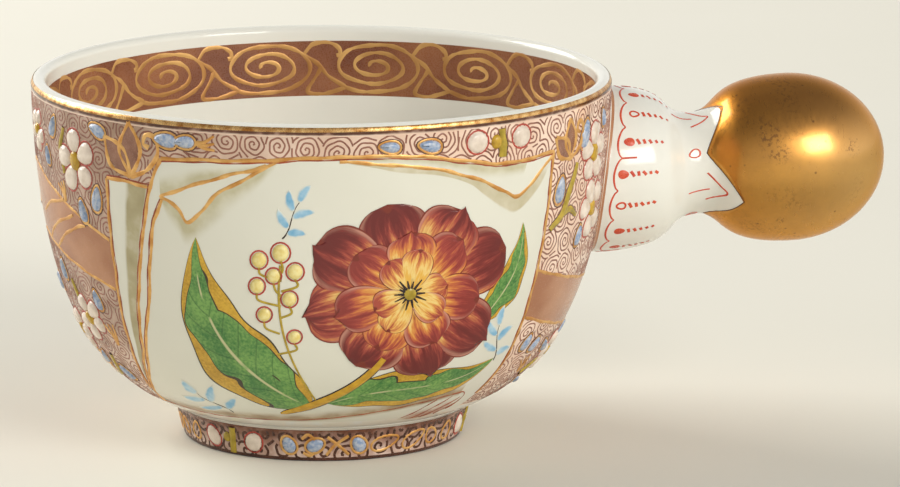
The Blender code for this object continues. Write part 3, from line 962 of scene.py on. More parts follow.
def egg(length, width, taper, middle=(0, 0), turn=0.0):
    """The outline of a petal or drop, narrower or wider at its top."""
    round_angle = np.linspace(0, math.tau, OUTLINE_POINTS, endpoint=False)
    x, y = np.cos(round_angle), np.sin(round_angle)
    outline = np.stack([width / 2 * x * (1 - taper * y), length / 2 * y], 1)
    return outline @ swung(turn) + middle


def pads(outlines, rounding, height, lift):
    """Domes of thick enamel, each over its own outline."""
    bm = bmesh.new()
    for outline in outlines:
        ring = bmesh.ops.create_circle(bm, cap_ends=True, segments=len(outline), radius=1.0)["verts"]
        ring.sort(key=lambda vert: math.atan2(vert.co.y, vert.co.x) % math.tau)
        for vert, spot in zip(ring, outline):
            vert.co = (spot[0], spot[1], lift)
    bm.normal_update()
    down = [face for face in bm.faces if face.normal.z < 0]
    bmesh.ops.reverse_faces(bm, faces=down)
    tops = bm.faces[:]
    bmesh.ops.inset_individual(bm, faces=tops, thickness=0.4 * rounding, depth=0.65 * height)
    bmesh.ops.inset_individual(bm, faces=tops, thickness=0.6 * rounding, depth=0.3 * height)
    bmesh.ops.poke(bm, faces=tops, offset=0.05 * height)
    return finished(bm)


white_pads, red_loops, olive_pads, olive_strokes = [], [], [], []
blue_pads, gilt_loops, dark_loops, palmette_strokes, palmette_pads = [], [], [], [], []


# Each motif is set down at a spot: angle round the cup, height, turn in degrees, and size.
def blossom(*spot):
    turn = spot[2]
    for petal in range(BLOSSOM_PETALS):
        swing = 360 / BLOSSOM_PETALS * petal + 9 * math.sin(3 * petal + turn)
        lean = math.radians(swing)
        spoke = (-BLOSSOM_SPOKE * math.sin(lean), BLOSSOM_SPOKE * math.cos(lean))
        length = 2.6 + 0.3 * math.sin(2.3 * petal + turn)
        for outlines, margin in ((white_pads, 0.0), (red_loops, BLOSSOM_OUTLINE_MARGIN)):
            outline = egg(length + margin, BLOSSOM_PETAL_WIDTH + margin, -0.2, spoke, swing)
            outlines.append(set_down(wall, outline, *spot))
    olive_pads.append(set_down(wall, egg(2.1, 1.6, 0.0), *spot))


def blue_drop(*spot):
    rings = ((blue_pads, 2.9, 1.5), (gilt_loops, 3.3, 1.85), (dark_loops, 3.75, 2.25))
    for outlines, length, width in rings:
        outlines.append(set_down(wall, egg(length, width, DROP_TAPER), *spot))


def palmette(*spot):
    lines = []
    for tip, spread in PALMETTE_LEAVES:
        tip = np.array(tip)
        aside = np.array((-tip[1], tip[0])) / np.hypot(*tip) * spread
        lines += [[(0, 0), 0.5 * tip + side, tip] for side in (aside, -aside)]
        lean_deg = math.degrees(math.atan2(-tip[0], tip[1]))
        leaf = egg(0.8 * np.hypot(*tip), 1.5 * spread, 0, 0.52 * tip, lean_deg)
        palmette_pads.append(set_down(wall, leaf, *spot))
    for line in (*lines, PALMETTE_CURL):
        palmette_strokes.append(by_hand(set_down(wall, smooth(line), *spot), 0.04, 0.2))


def flame(*spot):
    for lean in FLAME_LEANS:
        strand = smooth([(0, 0), (0.5 * lean + 0.3, 1.3), (1.3 * lean, 3.0)])
        brush = np.linspace(1.1, 0.5, len(strand))
        palmette_strokes.append(set_down(wall, np.column_stack([strand, brush]), *spot))


def twig(facing, points, swell):
    line = traced(facing, points)
    brush = swell * (0.6 + 0.4 * np.sin(np.linspace(0.3, 3.0, len(line))))
    olive_strokes.append(np.column_stack([by_hand(line, 0.06)[:, :2], brush]))


# The spots of each motif beside a panel: degrees from its middle, depth, turn and size.
FIELD = (
    (blossom, (-64.75, 6.4, 10, 1.2), (-72.0, 27.6, 30, 1.0), (-84.5, 30.5, -15, 0.95),
     (-84.0, 4.4, 40, 0.8), (61.0, 6.8, 0, 1.15), (63.0, 14.0, 20, 1.15), (69.0, 34.2, 15, 0.95),
     (86.0, 36.6, 0, 0.9)),
    (blue_drop, (-57.0, 1.9, 72, 1.0), (-63.6, 12.6, 15, 1.0), (-58.4, 10.6, -12, 1.1),
     (-74.0, 3.0, -25, 1.0), (-77.5, 7.0, 15, 0.85), (-65.0, 24.4, 10, 0.95), (-69.0, 35.8, 40, 0.95),
     (-78.5, 34.2, -30, 0.9), (-79.5, 21.8, 5, 0.95), (-88.5, 24.4, 30, 0.9), (-39.4, 1.8, 86, 1.1),
     (-35.2, 1.8, 92, 0.95),
     (5.2, 1.95, 84, 0.85), (13.2, 2.1, 80, 0.95), (47.0, 10.1, -10, 1.15), (56.0, 4.0, -16, 1.25),
     (66.5, 3.0, 20, 0.85), (57.4, 17.0, -14, 0.9), (47.4, 30.5, -20, 0.85), (52.2, 31.3, -30, 0.8),
     (60.5, 32.4, 40, 0.85), (77.0, 31.8, -20, 0.85), (80.0, 38.8, 80, 0.8), (62.0, 38.6, 60, 0.8)),
    (palmette, (-48.0, 6.9, 0, 1.25), (50.0, 6.5, 4, 0.95), (-88.0, 38.0, 5, 0.8)),
    (flame, (-32.6, 1.8, -88, 0.8), (-63.6, 30.6, 6, 1.0), (54.0, 36.0, 15, 0.9), (-70.5, 12.0, 20, 0.8)),
)
TWIGS = (
    ([(44.7, 15.0), (48.5, 13.2), (51.0, 10.0), (53.0, 7.2)], 1.0),
    ([(47.8, 13.6), (51.5, 13.0), (54.5, 13.9)], 0.8),
    ([(-69.6, 8.4), (-70.6, 5.4), (-69.0, 2.6)], 0.8), ([(-76.0, 22.8), (-74.6, 25.0), (-73.4, 26.2)], 0.8),
    ([(-82.0, 37.6), (-76.0, 36.6), (-71.8, 33.0)], 0.9), ([(57.0, 36.8), (62.0, 35.6), (66.0, 35.4)], 0.9),
)
for facing in PANEL_FACINGS:
    for motif, *spots in FIELD:
        for rel, depth, turn, size in spots:
            if off_bell(facing + rel, depth) > CLEAR_OF_BELL:
                motif(facing + rel, WALL_TOP - depth, turn, size)
    for points, swell in TWIGS:
        twig(facing, points, swell)
    for rel in BUD_ANGLES:
        for outlines, length, width in ((white_pads, 2.6, 2.8), (red_loops, 2.95, 3.15)):
            outlines.append(set_down(wall, egg(length, width, 0.0), facing + rel, WALL_TOP - BUD_DEPTH))
    olive_strokes.append(by_hand(traced(facing, BUD_TWIG), 0.05))
    olive_pads.append(set_down(wall, egg(1.8, 1.5, 0.0), facing + BUD_MIDDLE[0], WALL_TOP - BUD_MIDDLE[1]))
white_enamel = mottled("white_relief_enamel", "#F0E2D3", "#D8C7B6", 1.2, 0.16)
red_enamel_line = mottled("iron_red_line", "#BE4638", "#A23427", 2.0, 0.3)
olive_enamel = mottled("olive_enamel", "#BEA236", "#9A8426", 0.9, 0.2)
golden_middle = mottled("golden_olive_enamel", "#D0A836", "#AE8826", 0.9, 0.2)
blue_enamel = mottled("blue_relief_enamel", "#BCC3CE", "#8298BC", 0.45, 0.22)
palmette_brown = mottled("palmette_brown_enamel", "#9C705A", "#825643", 1.5, 0.24)
brown_line = mottled("dark_brown_enamel", "#5A3426", "#3E2218", 2.0, 0.3)
paint(wall, "bowl_porcelain",
      ("field_white_petals", pads(white_pads, 0.5, 0.4, 0.02), white_enamel),
      ("field_red_outlines", drawn(red_loops, 0.22, 0.07, lift=0.02, closed=True), red_enamel_line),
      ("field_olive_middles", pads(olive_pads, 0.34, 0.42, 0.03), golden_middle),
      ("field_twig_edges", drawn(olive_strokes, 1.4, 0.06, lift=0.02), brown_line),
      ("field_twigs", drawn(olive_strokes, 1.1, 0.28, rounded=1, lift=0.02), olive_enamel),
      ("field_blue_drops", pads(blue_pads, 0.42, 0.36, 0.03), blue_enamel))
paint(wall, "gilt_porcelain",
      ("field_gilt_rings", drawn(gilt_loops, 0.3, 0.1, lift=0.02, closed=True), gilding))
paint(wall, "bowl_porcelain",
      ("field_dark_rings", drawn(dark_loops, 0.16, 0.06, lift=0.02, closed=True), brown_line),
      ("palmette_washes", pads(palmette_pads, 0.2, 0.03, 0.045), palmette_brown))
paint(wall, "gilt_porcelain",
      ("palmette_gilding", drawn(palmette_strokes, 0.58, 0.12, rounded=1, lift=0.03), gilding))

# Foot painting: a brown wash with dark coils round the ring, under white petals, olive bars, blue
# drops and gold loops, and a dark brown line along the standing edge. The set of motifs repeats
# three times.
FOOT_GROUND = (0.6, 4.7)
FOOT_EDGE_LINE = (0.15, 0.8)
FOOT_REPEATS = 3
FOOT_MIDDLE = 2.45
FOOT_SEGMENTS = 160
FOOT_COIL_SPACING = 2.5
FOOT_COIL_PITCH = 0.85
FOOT_COIL_MARGIN = 0.1
FOOT_EDGE_LIFT = 0.04
# Motifs at degrees from the start of a repeat, with their turn; a loop has its length between.
FOOT_PETALS = ((-57.0, 20), (-36.5, -30))
FOOT_DROPS = ((-21.5, 20), (-11.0, -60), (6.5, 30))
FOOT_LOOPS = ((17.5, 3.8, -74), (31.0, 3.6, -62), (51.0, 2.4, -20), (40.5, 2.2, 30))
FOOT_BAR_ANGLE = -46.5
FOOT_OLIVE_ANGLE = -49.2
FOOT_CROSS_ANGLE = -2.0
FOOT_CROSS = ([(-1.4, -1.3), (-0.3, 0.1), (1.3, 1.3)], [(-1.3, 1.2), (0.2, -0.1), (1.4, -1.3)],
              [(-4.4, 0.9), (-3.6, 1.5), (-2.8, 0.8)], [(-4.3, -1.0), (-3.5, -1.4), (-2.7, -0.8)])
foot_skin = Skin([*base_edge[::-1], *fillet[::-1]], CUP_AXIS)


def on_foot(points, angle, turn=0.0, rise=0.0):
    """Carry a motif to an angle round the foot's border, on its middle or a little above."""
    return set_down(foot_skin, points, angle, FOOT_MIDDLE + rise, turn)


def foot_field(x, y):
    """Whether flat points are on the foot's ground."""
    return (y > FOOT_GROUND[0]) & (y < FOOT_GROUND[1] - FOOT_COIL_MARGIN)


white_pads, red_loops, olive_pads, blue_pads, gilt_loops = [], [], [], [], []
foot_bars, foot_gilt = [], []
bar = np.column_stack([np.linspace(-0.2, 0.2, 6), np.linspace(-1.75, 1.7, 6)])
for repeat in range(FOOT_REPEATS):
    start = -90 + 360 / FOOT_REPEATS * repeat
    for rel, turn in FOOT_PETALS:
        white_pads.append(on_foot(egg(2.6, 2.2, 0.1), start + rel, turn))
        red_loops.append(on_foot(egg(2.95, 2.55, 0.1), start + rel, turn))
    foot_bars.append(on_foot(bar, start + FOOT_BAR_ANGLE))
    olive_pads.append(on_foot(egg(1.4, 1.1, 0.0), start + FOOT_OLIVE_ANGLE, rise=0.2))
    for rel, turn in FOOT_DROPS:
        blue_pads.append(on_foot(egg(2.2, 1.6, 0.1), start + rel, turn))
        gilt_loops.append(on_foot(egg(2.6, 2.0, 0.1), start + rel, turn))
    for rel, length, turn in FOOT_LOOPS:
        gilt_loops.append(on_foot(egg(length, 1.8, 0.25), start + rel, turn))
    for cross in FOOT_CROSS:
        foot_gilt.append(on_foot(smooth(cross), start + FOOT_CROSS_ANGLE))
foot_pale = mottled("foot_brown_wash", "#DCC3B6", "#B48E7C", 1.6, 0.2)
# The brown grows darker towards the top of the ring, where it meets the belly.
foot_wash = washed(foot_pale, "#7E4C38", "#643A2A", 1.5, base=1.25)
foot_coil_strokes = coils(foot_skin, *FOOT_GROUND, FOOT_COIL_SPACING, FOOT_COIL_PITCH, foot_field, 9)
foot_band = hoop(foot_skin, *FOOT_GROUND, WASH_LIFT)
foot_edge = hoop(foot_skin, *FOOT_EDGE_LINE, FOOT_EDGE_LIFT)
paint(foot_skin, "foot_porcelain",
      ("foot_wash", sheets(FOOT_SEGMENTS, 6, [foot_band]), foot_wash),
      ("foot_coils", drawn(foot_coil_strokes, 0.4, 0.05, lift=0.01), brown_line),
      ("foot_brown_edge", sheets(FOOT_SEGMENTS, 4, [foot_edge]), brown_line),
      ("foot_white_petals", pads(white_pads, 0.45, 0.3, 0.02), white_enamel),
      ("foot_red_outlines", drawn(red_loops, 0.22, 0.1, lift=0.02, closed=True), red_enamel_line),
      ("foot_olive_middles", pads(olive_pads, 0.3, 0.3, 0.03), olive_enamel),
      ("foot_olive_bars", drawn(foot_bars, 1.1, 0.24, rounded=1, lift=0.02), olive_enamel),
      ("foot_blue_drops", pads(blue_pads, 0.4, 0.3, 0.03), blue_enamel))
paint(foot_skin, "gilt_porcelain",
      ("foot_gilt_loops", drawn(gilt_loops, 0.34, 0.12, lift=0.03, closed=True), gilding),
      ("foot_gilt_crosses", drawn(foot_gilt, 0.42, 0.12, lift=0.04), gilding))

# Bell painting: sixteen petals drawn in iron red. A scalloped line runs round the bell near the
# wall, and on each petal a drop is followed by a row of dashes that dwindle towards the waist.
BELL_PETALS = 16
BELL_START_DEG = 5
BELL_DROP_DISTANCE = 1.5
BELL_DASHES = 5
BELL_DASH_START = 1.15
BELL_DASH_PITCH = 0.78
BELL_STROKE_LIFT = 0.005
JOINT_WASH = 0.55
SCALLOP_DISTANCE = 1.35
SCALLOP_DEPTH = 0.75
CUSP_LENGTH = 1.9
handle_skin = Skin([(MOUTH_RADIUS, -4.0), *handle_line], HANDLE_AXIS)


def on_handle(angle, along):
    """Flat place on the handle of an angle in radians and a distance along its axis."""
    y = np.interp(along, handle_skin.profile[:, 1], handle_skin.run)
    return np.stack(np.broadcast_arrays(np.asarray(angle) * handle_skin.girth, y), -1)


def set_on_handle(points, angle, along, turn=0.0):
    """Carry a motif to its place on the handle."""
    return set_down(handle_skin, points, math.degrees(angle), float(on_handle(angle, along)[1]), turn)


bell_strokes, bell_dashes, bell_rings, bell_drops = [], [], [], []
petal_angle = math.tau / BELL_PETALS
for petal in range(BELL_PETALS):
    start = math.radians(BELL_START_DEG) + petal * petal_angle
    across = np.linspace(0, 1, 13)
    angles = start + across * petal_angle
    mouths = np.array([wall_reach(angle) for angle in angles])
    scallop = mouths + SCALLOP_DISTANCE + SCALLOP_DEPTH * (1 - np.sin(across * math.pi) ** 0.6)
    brush = 0.75 + 0.35 * np.sin(across * math.pi)
    bell_strokes.append(np.column_stack([on_handle(angles, scallop), brush]))
    middle = start + 0.5 * petal_angle
    if petal % 4 == 3:
        cusp = wall_reach(start) + SCALLOP_DISTANCE + SCALLOP_DEPTH
        bell_strokes.append(on_handle(start, np.linspace(cusp, cusp + CUSP_LENGTH, 6)))
    seat = wall_reach(middle) + SCALLOP_DISTANCE + BELL_DROP_DISTANCE + 0.3 * math.sin(5 * petal)
    drop = set_on_handle(egg(1.15, 0.85, 0.25 if petal % 2 else -0.2), middle, seat)
    if petal % 3:
        bell_drops.append(drop)
    bell_rings.append(drop)
    for dash in range(BELL_DASHES):
        size = 0.34 - 0.05 * dash
        skew = 0.1 * math.sin(3 * dash + petal)
        along = seat + BELL_DASH_START + BELL_DASH_PITCH * dash
        lean_line = np.array(((-size, -0.12 + skew), (0, 0.03), (size, 0.12 - skew)))
        bell_dashes.append(set_on_handle(lean_line, middle, along))
iron_red = mottled("iron_red_enamel", "#DB5A38", "#C8432A", 1.5, 0.28)
piece("bell_joint_wash", saddled(-0.1, JOINT_WASH, 8, 0.02, False), sash_rose, "bell_porcelain")
paint(handle_skin, "bell_porcelain",
      ("bell_red_lines", drawn(bell_strokes, 0.24, 0.05, rounded=1, lift=BELL_STROKE_LIFT), iron_red),
      ("bell_red_dashes", drawn(bell_dashes, 0.4, 0.05, rounded=1, lift=BELL_STROKE_LIFT), iron_red),
      ("bell_red_rings", drawn(bell_rings, 0.26, 0.06, lift=BELL_STROKE_LIFT, closed=True), iron_red),
      ("bell_red_drops", pads(bell_drops, 0.2, 0.05, BELL_STROKE_LIFT), iron_red))

# Sepals: the white points that clasp the gold. Each has a chevron and a short stroke in iron red,
# a small ring stands in each valley, and a fine dark line runs along the edge of the gold.
# Points of the strokes, as radians from a sepal's middle and distance from its tip.
CHEVRON = ((-0.40, -4.2), (-0.16, -2.7), (-0.05, -1.9), (0.06, -2.7), (0.2, -4.3))
sepal_strokes, sepal_rings = [], []
for sepal in range(SEPALS):
    angle = math.radians(SEPAL_TURN_DEG) + (sepal + 0.5) * math.tau / SEPALS
    tip = sepal_edge(angle)
    chevron = smooth([(turn, tip + back) for turn, back in CHEVRON])
    sepal_strokes.append(on_handle(angle + chevron[:, 0], chevron[:, 1]))
    short_stroke = np.linspace(tip - 6.6, tip - 3.9, 6)
    sepal_strokes.append(on_handle(angle + np.linspace(0.0, -0.06, 6), short_stroke))
    valley = angle - math.pi / SEPALS
    sepal_rings.append(set_on_handle(egg(1.5, 1.0, -0.3), valley, sepal_edge(valley) - 1.6, turn=20))
edge_angles = np.linspace(0, math.tau, 241)
edge_line = on_handle(edge_angles, np.array([sepal_edge(angle) for angle in edge_angles]))
paint(handle_skin, "gilt_porcelain",
      ("sepal_red_lines", drawn(sepal_strokes, 0.3, 0.05, rounded=1, lift=BELL_STROKE_LIFT), iron_red),
      ("sepal_red_rings", drawn(sepal_rings, 0.26, 0.06, lift=BELL_STROKE_LIFT, closed=True), iron_red),
      ("sepal_dark_edge", drawn([edge_line], 0.16, 0.07, lift=BELL_STROKE_LIFT), brown_line))

# Panel painting: an open flower in three rings of streaked petals, its golden stem, green leaves
# with golden lobes, a spray of yellow berries and soft blue sprigs, painted in enamels on each
# white panel. Each colour is laid with its own brush, and the petals overlap like tiles.
PAINTING_DEPTH = 22.5
BLOOM = np.array((6.0, 2.0))
# Rings of the flower: petals, turn in degrees, distance of the roots, length, width and lift.
OUTER_RING = (8, 14, 2.8, 9.6, 8.8, 0.07)
MIDDLE_RING = (7, 40, 1.5, 7.0, 6.4, 0.15)
INNER_RING = (6, 12, 0.5, 4.6, 4.2, 0.23)
STAMENS = 14
STEM = ((3.2, -7.0), (1.0, -11.0), (-3.0, -14.2), (-8.5, -17.4))
STEM_SWELL = ((0, 0.8, 0.97, 1), (0.85, 1.15, 0.7, 0.3))
VINE = ((-4.6, -14.0), (-7.6, -8.0), (-10.6, -3.0), (-9.8, 6.0))
# Leaves by their spine and width, berries by place and size, sprigs by root, lean in degrees and size.
LEAVES = (([(-5.0, -15.6), (-13.5, -9.5), (-21.0, -3.0), (-20.5, 9.0)], 9.6),
          ([(-3.0, -14.8), (4.0, -10.6), (11.0, -14.6), (19.0, -9.2)], 6.6),
          ([(16.0, -3.0), (19.0, 0.5), (22.5, 3.0), (22.0, 9.4)], 4.6))
BERRIES = ((-9.8, 7.6, 1.1), (-12.4, 6.6, 1.0), (-8.0, 5.2, 1.0), (-10.6, 4.6, 0.9), (-12.6, 3.2, 0.95),
           (-8.6, 1.6, 0.95), (-11.6, -0.6, 0.9), (-7.8, -3.6, 0.85))
SPRIGS = (((-14.6, -18.2), 140, 1.25), ((-9.6, 9.4), 62, 0.95), ((19.0, -9.6), 84, 1.05))
SPRIG_STALK = ((0, 0), (0.6, 1.6), (-0.8, 3.4), (-0.4, 5.2))
# Leaflets of a sprig: the step of the stalk that each grows from, and where it reaches to.
SPRIG_LEAFLETS = ((2, (2.3, 1.1)), (4, (-2.5, 1.6)), (7, (2.3, 2.1)), (9, (-1.9, 2.3)), (12, (0.3, 2.8)))


def on_panel(facing, points):
    """Flat place of painting points, in millimetres from the middle of a panel."""
    points = np.asarray(points, float)
    y = WALL_TOP - PAINTING_DEPTH + points[:, 1]
    x = math.radians(facing) * wall.girth + points[:, 0] * wall.girth / wall.radius_at(y)
    return np.column_stack([x, y, points[:, 2:]])


def brushed(facing, line, swell):
    """A stroke on a panel, whose brush swells and thins by the given shares."""
    return on_panel(facing, np.column_stack([line, swell]))


def blade(facing, spine, width, lift, swell, ruffle=0.0):
    """The setting-out of a petal or leaf: its width swells along a curved spine, it domes a little, and
    its tip is ruffled."""
    a, b, c, d = (np.array(point, float) for point in spine)

    def place(across, up):
        t = up[:, None]
        s = 1 - t
        along = 3 * s * s * (b - a) + 6 * s * t * (c - b) + 3 * t * t * (d - c)
        along /= np.maximum(np.hypot(along[:, 0], along[:, 1]), 1e-6)[:, None]
        aside = np.stack([along[:, 1], -along[:, 0]], 1)
        spread = (across - 0.5)[:, None] * width * swell(up)[:, None]
        wave = ruffle * (up ** 3 * np.sin(8 * across + 3 * a[0] + d[0]))[:, None]
        flat = on_panel(facing, bend(spine, up) + aside * spread + along * wave)
        return *flat.T, lift + 0.04 * (1 - (2 * across - 1) ** 2)
    return place


def petal_swell(up):
    """Width of a petal along its spine: widest past its middle, with a blunt tip."""
    tip = np.clip((up - 0.62) / 0.38, 0, 1)
    base = 0.3 + 0.7 * np.sin(np.pi / 2 * np.clip(up / 0.62, 0, 1))
    return base * np.sqrt(np.maximum(1 - tip ** 2.4, 0))


def leaf_swell(up):
    """Width of a leaf along its spine, with a slightly wavy edge."""
    return np.sin(np.pi * np.clip(up, 0, 1) ** 0.75) ** 0.85 * (1 + 0.06 * np.sin(19 * up))


def bloom_ring(facing, petals, turn, start, length, width, lift):
    """A ring of petals that grow outwards from round the flower's middle, each bowed its own way."""
    ring = []
    for petal in range(petals):
        angle = math.radians(turn + 360 / petals * petal + 7 * math.sin(2.7 * petal))
        out = np.array((math.cos(angle), math.sin(angle)))
        bow = 0.13 * length * math.sin(3.1 * petal + turn) * np.array((-out[1], out[0]))
        reach = out * length * (1 + 0.12 * math.sin(1.9 * petal + turn))
        root = BLOOM + out * start
        spine = root, root + 0.35 * reach + 0.4 * bow, root + 0.7 * reach + 0.9 * bow, root + reach + bow
        own_lift = lift + 0.02 * (petal % 2) + 0.003 * petal
        ring.append(blade(facing, spine, width, own_lift, petal_swell, 0.05 * length))
    return ring


outer_petals, middle_petals, inner_petals, leaves, leaflets = [], [], [], [], []
stems, vine_lines, stalks, berries, berry_rings, eyes, stamens = [], [], [], [], [], [], []


def sprig(facing, root, lean, size):
    """A bowed stalk with soft blue leaflets to either side, and a quick dark stroke over each."""
    rows = size * swung(lean - 90)
    stalk = bend(SPRIG_STALK, 12)
    vine_lines.append(brushed(facing, root + stalk @ rows, np.linspace(1.2, 0.5, 13)))
    for step, out in SPRIG_LEAFLETS:
        foot, out = stalk[step], np.array(out)
        bow = 0.13 * np.array((-out[1], out[0]))
        spine = np.array((foot, foot + 0.35 * out + bow, foot + 0.7 * out + bow, foot + out)) @ rows + root
        leaflets.append(blade(facing, spine, 1.35 * size, 0.05, leaf_swell))
        vine_lines.append(brushed(facing, bend(spine, 10), np.linspace(0.9, 0.35, 11))[:8])


for facing in PANEL_FACINGS:
    outer_petals += bloom_ring(facing, *OUTER_RING)
    middle_petals += bloom_ring(facing, *MIDDLE_RING)
    inner_petals += bloom_ring(facing, *INNER_RING)
    eyes.append(on_panel(facing, egg(1.7, 1.7, 0.0, BLOOM)))
    for stamen in range(STAMENS):
        swing = math.tau * stamen / STAMENS
        out = np.array((math.cos(swing), math.sin(swing)))
        line = np.array([BLOOM + out * 0.7, BLOOM + out * (1.9 + 0.4 * math.sin(4 * stamen))])
        stamens.append(brushed(facing, smooth(line, 4), np.linspace(1.2, 0.5, 5)))
    leaves += [blade(facing, spine, width, 0.055, leaf_swell) for spine, width in LEAVES]
    stems.append(brushed(facing, bend(STEM, 30), np.interp(np.linspace(0, 1, 31), *STEM_SWELL)))
    stalks.append(on_panel(facing, bend(VINE, 24)))
    for x, y, size in BERRIES:
        berries.append(on_panel(facing, egg(2.0 * size, 1.8 * size, 0.0, (x, y))))
        berry_rings.append(on_panel(facing, egg(2.4 * size, 2.2 * size, 0.0, (x, y))))
        stalks.append(on_panel(facing, smooth([(x, y - 0.9), (x + 0.3, y - 1.9), (-9.6, y - 2.6)])))
    for root, lean, size in SPRIGS:
        sprig(facing, root, lean, size)


def petal_enamel(name, throat, *colours):
    """Enamel stroked along a petal: tones run from its base to its tip, broken by brush streaks and a
    dark throat. No two petals are alike, and each has a pale rim inside a fine red-brown outline."""
    material, tree, shader, _ = new_finish(name)
    grid, edge, parts = brush_grid(tree)
    up = parts["Y"]
    number = add(tree, "Math", (parts["X"],), operation="FLOOR")
    own = add(tree, "TexWhiteNoise", {"W": number}, noise_dimensions="1D")
    own_tone = add(tree, "MapRange", (own, 0.0, 1.0, -0.2, 0.12))
    long_grain = add(tree, "Mapping", {"Vector": grid, "Scale": (8.0, 1.3, 1.0)})
    strokes = add(tree, "TexNoise", {"Vector": long_grain, "Scale": 1.0, "Detail": 4.0, "Roughness": 0.62})
    pushed = add(tree, "MapRange", (strokes, 0.3, 0.7, -0.4, 0.4))
    shifted = add(tree, "Math", (up, own_tone), operation="ADD")
    tone = add(tree, "Math", (shifted, pushed), operation="ADD")
    mixed = colours[0]
    for step, colour in enumerate(colours[1:]):
        share = add(tree, "MapRange", (tone, 0.08 + 0.2 * step, 0.3 + 0.2 * step))
        mixed = add(tree, "Mix", (share, mixed, colour), data_type="RGBA")
    vein = add(tree, "MapRange", (strokes, 0.55, 0.62))
    near_base = add(tree, "MapRange", (up, 0.1, 0.42, 1.0, 0.0))
    depth = add(tree, "Math", (vein, near_base), operation="MULTIPLY")
    throated = add(tree, "Mix", (depth, mixed, throat), data_type="RGBA")
    rim = add(tree, "MapRange", (edge, 0.03, 0.12, 1.0, 0.0))
    patchy = add(tree, "MapRange", (strokes, 0.42, 0.6, 0.0, 0.75))
    pale = add(tree, "Math", (rim, patchy), operation="MULTIPLY")
    rimmed = add(tree, "Mix", (pale, throated, "#D69C86"), data_type="RGBA")
    at_side = add(tree, "MapRange", (edge, 0.016, 0.028, 1.0, 0.0))
    at_tip = add(tree, "MapRange", (up, 0.968, 0.98))
    line = add(tree, "Math", (at_side, at_tip), operation="MAXIMUM")
    final = add(tree, "Mix", (line, rimmed, "#7A2E22"), data_type="RGBA")
    add(tree, shader, {"Base Color": final, "Roughness": 0.16})
    return material


def leaf_enamel(name):
    """Two enamels side by side on a leaf: stippled green, and golden lobes that run in from the edge
    behind a fine dark line. The midrib is scratched out pale, and veins are drawn in dark green."""
    material, tree, shader, place = new_finish(name)
    grid, edge, parts = brush_grid(tree)
    stipple = add(tree, "TexNoise", {"Vector": place, "Scale": 1 / (0.35 * MM), "Detail": 2.0})
    broad = add(tree, "TexNoise", {"Vector": place, "Scale": 1 / (4 * MM), "Detail": 2.0})
    both = add(tree, "Math", (stipple, broad), operation="ADD")
    shade = add(tree, "MapRange", (both, 0.75, 1.25))
    green = add(tree, "Mix", (shade, "#7CA856", "#3E7638"), data_type="RGBA")
    golden = add(tree, "Mix", (shade, "#D8AC38", "#B08620"), data_type="RGBA")
    rib_line = add(tree, "Math", (parts["Y"], 8.0), operation="MULTIPLY")
    slant = add(tree, "Math", (edge, 3.4, rib_line), operation="MULTIPLY_ADD")
    phase = add(tree, "Math", (slant,), operation="FRACT")
    vein = add(tree, "MapRange", (phase, 0.05, 0.12, 0.55, 0.0))
    veined = add(tree, "Mix", (vein, green, "#2E5A2E"), data_type="RGBA")
    rib = add(tree, "MapRange", (edge, 0.474, 0.488, 0.0, 0.85))
    broken = add(tree, "MapRange", (broad, 0.4, 0.5))
    ribbed = add(tree, "Math", (rib, broken), operation="MULTIPLY")
    pale = add(tree, "Mix", (ribbed, veined, "#CFC89A"), data_type="RGBA")
    lobe_grid = add(tree, "Mapping", {"Vector": grid, "Scale": (1.7, 3.2, 1.0)})
    lobes = add(tree, "TexNoise", {"Vector": lobe_grid, "Scale": 1.0, "Detail": 1.0})
    reach = add(tree, "MapRange", (lobes, 0.4, 0.6, 0.0, 0.3))
    inward = add(tree, "Math", (reach, edge), operation="SUBTRACT")
    lobe = add(tree, "MapRange", (inward, -0.004, 0.004))
    patched = add(tree, "Mix", (lobe, pale, golden), data_type="RGBA")
    seam = add(tree, "Math", (inward, 0.0, 0.014), operation="COMPARE")
    rim = add(tree, "Math", (edge, 0.02), operation="LESS_THAN")
    line = add(tree, "Math", (seam, rim), operation="MAXIMUM")
    final = add(tree, "Mix", (line, patched, "#3E3422"), data_type="RGBA")
    add(tree, shader, {"Base Color": final, "Roughness": 0.2})
    return material


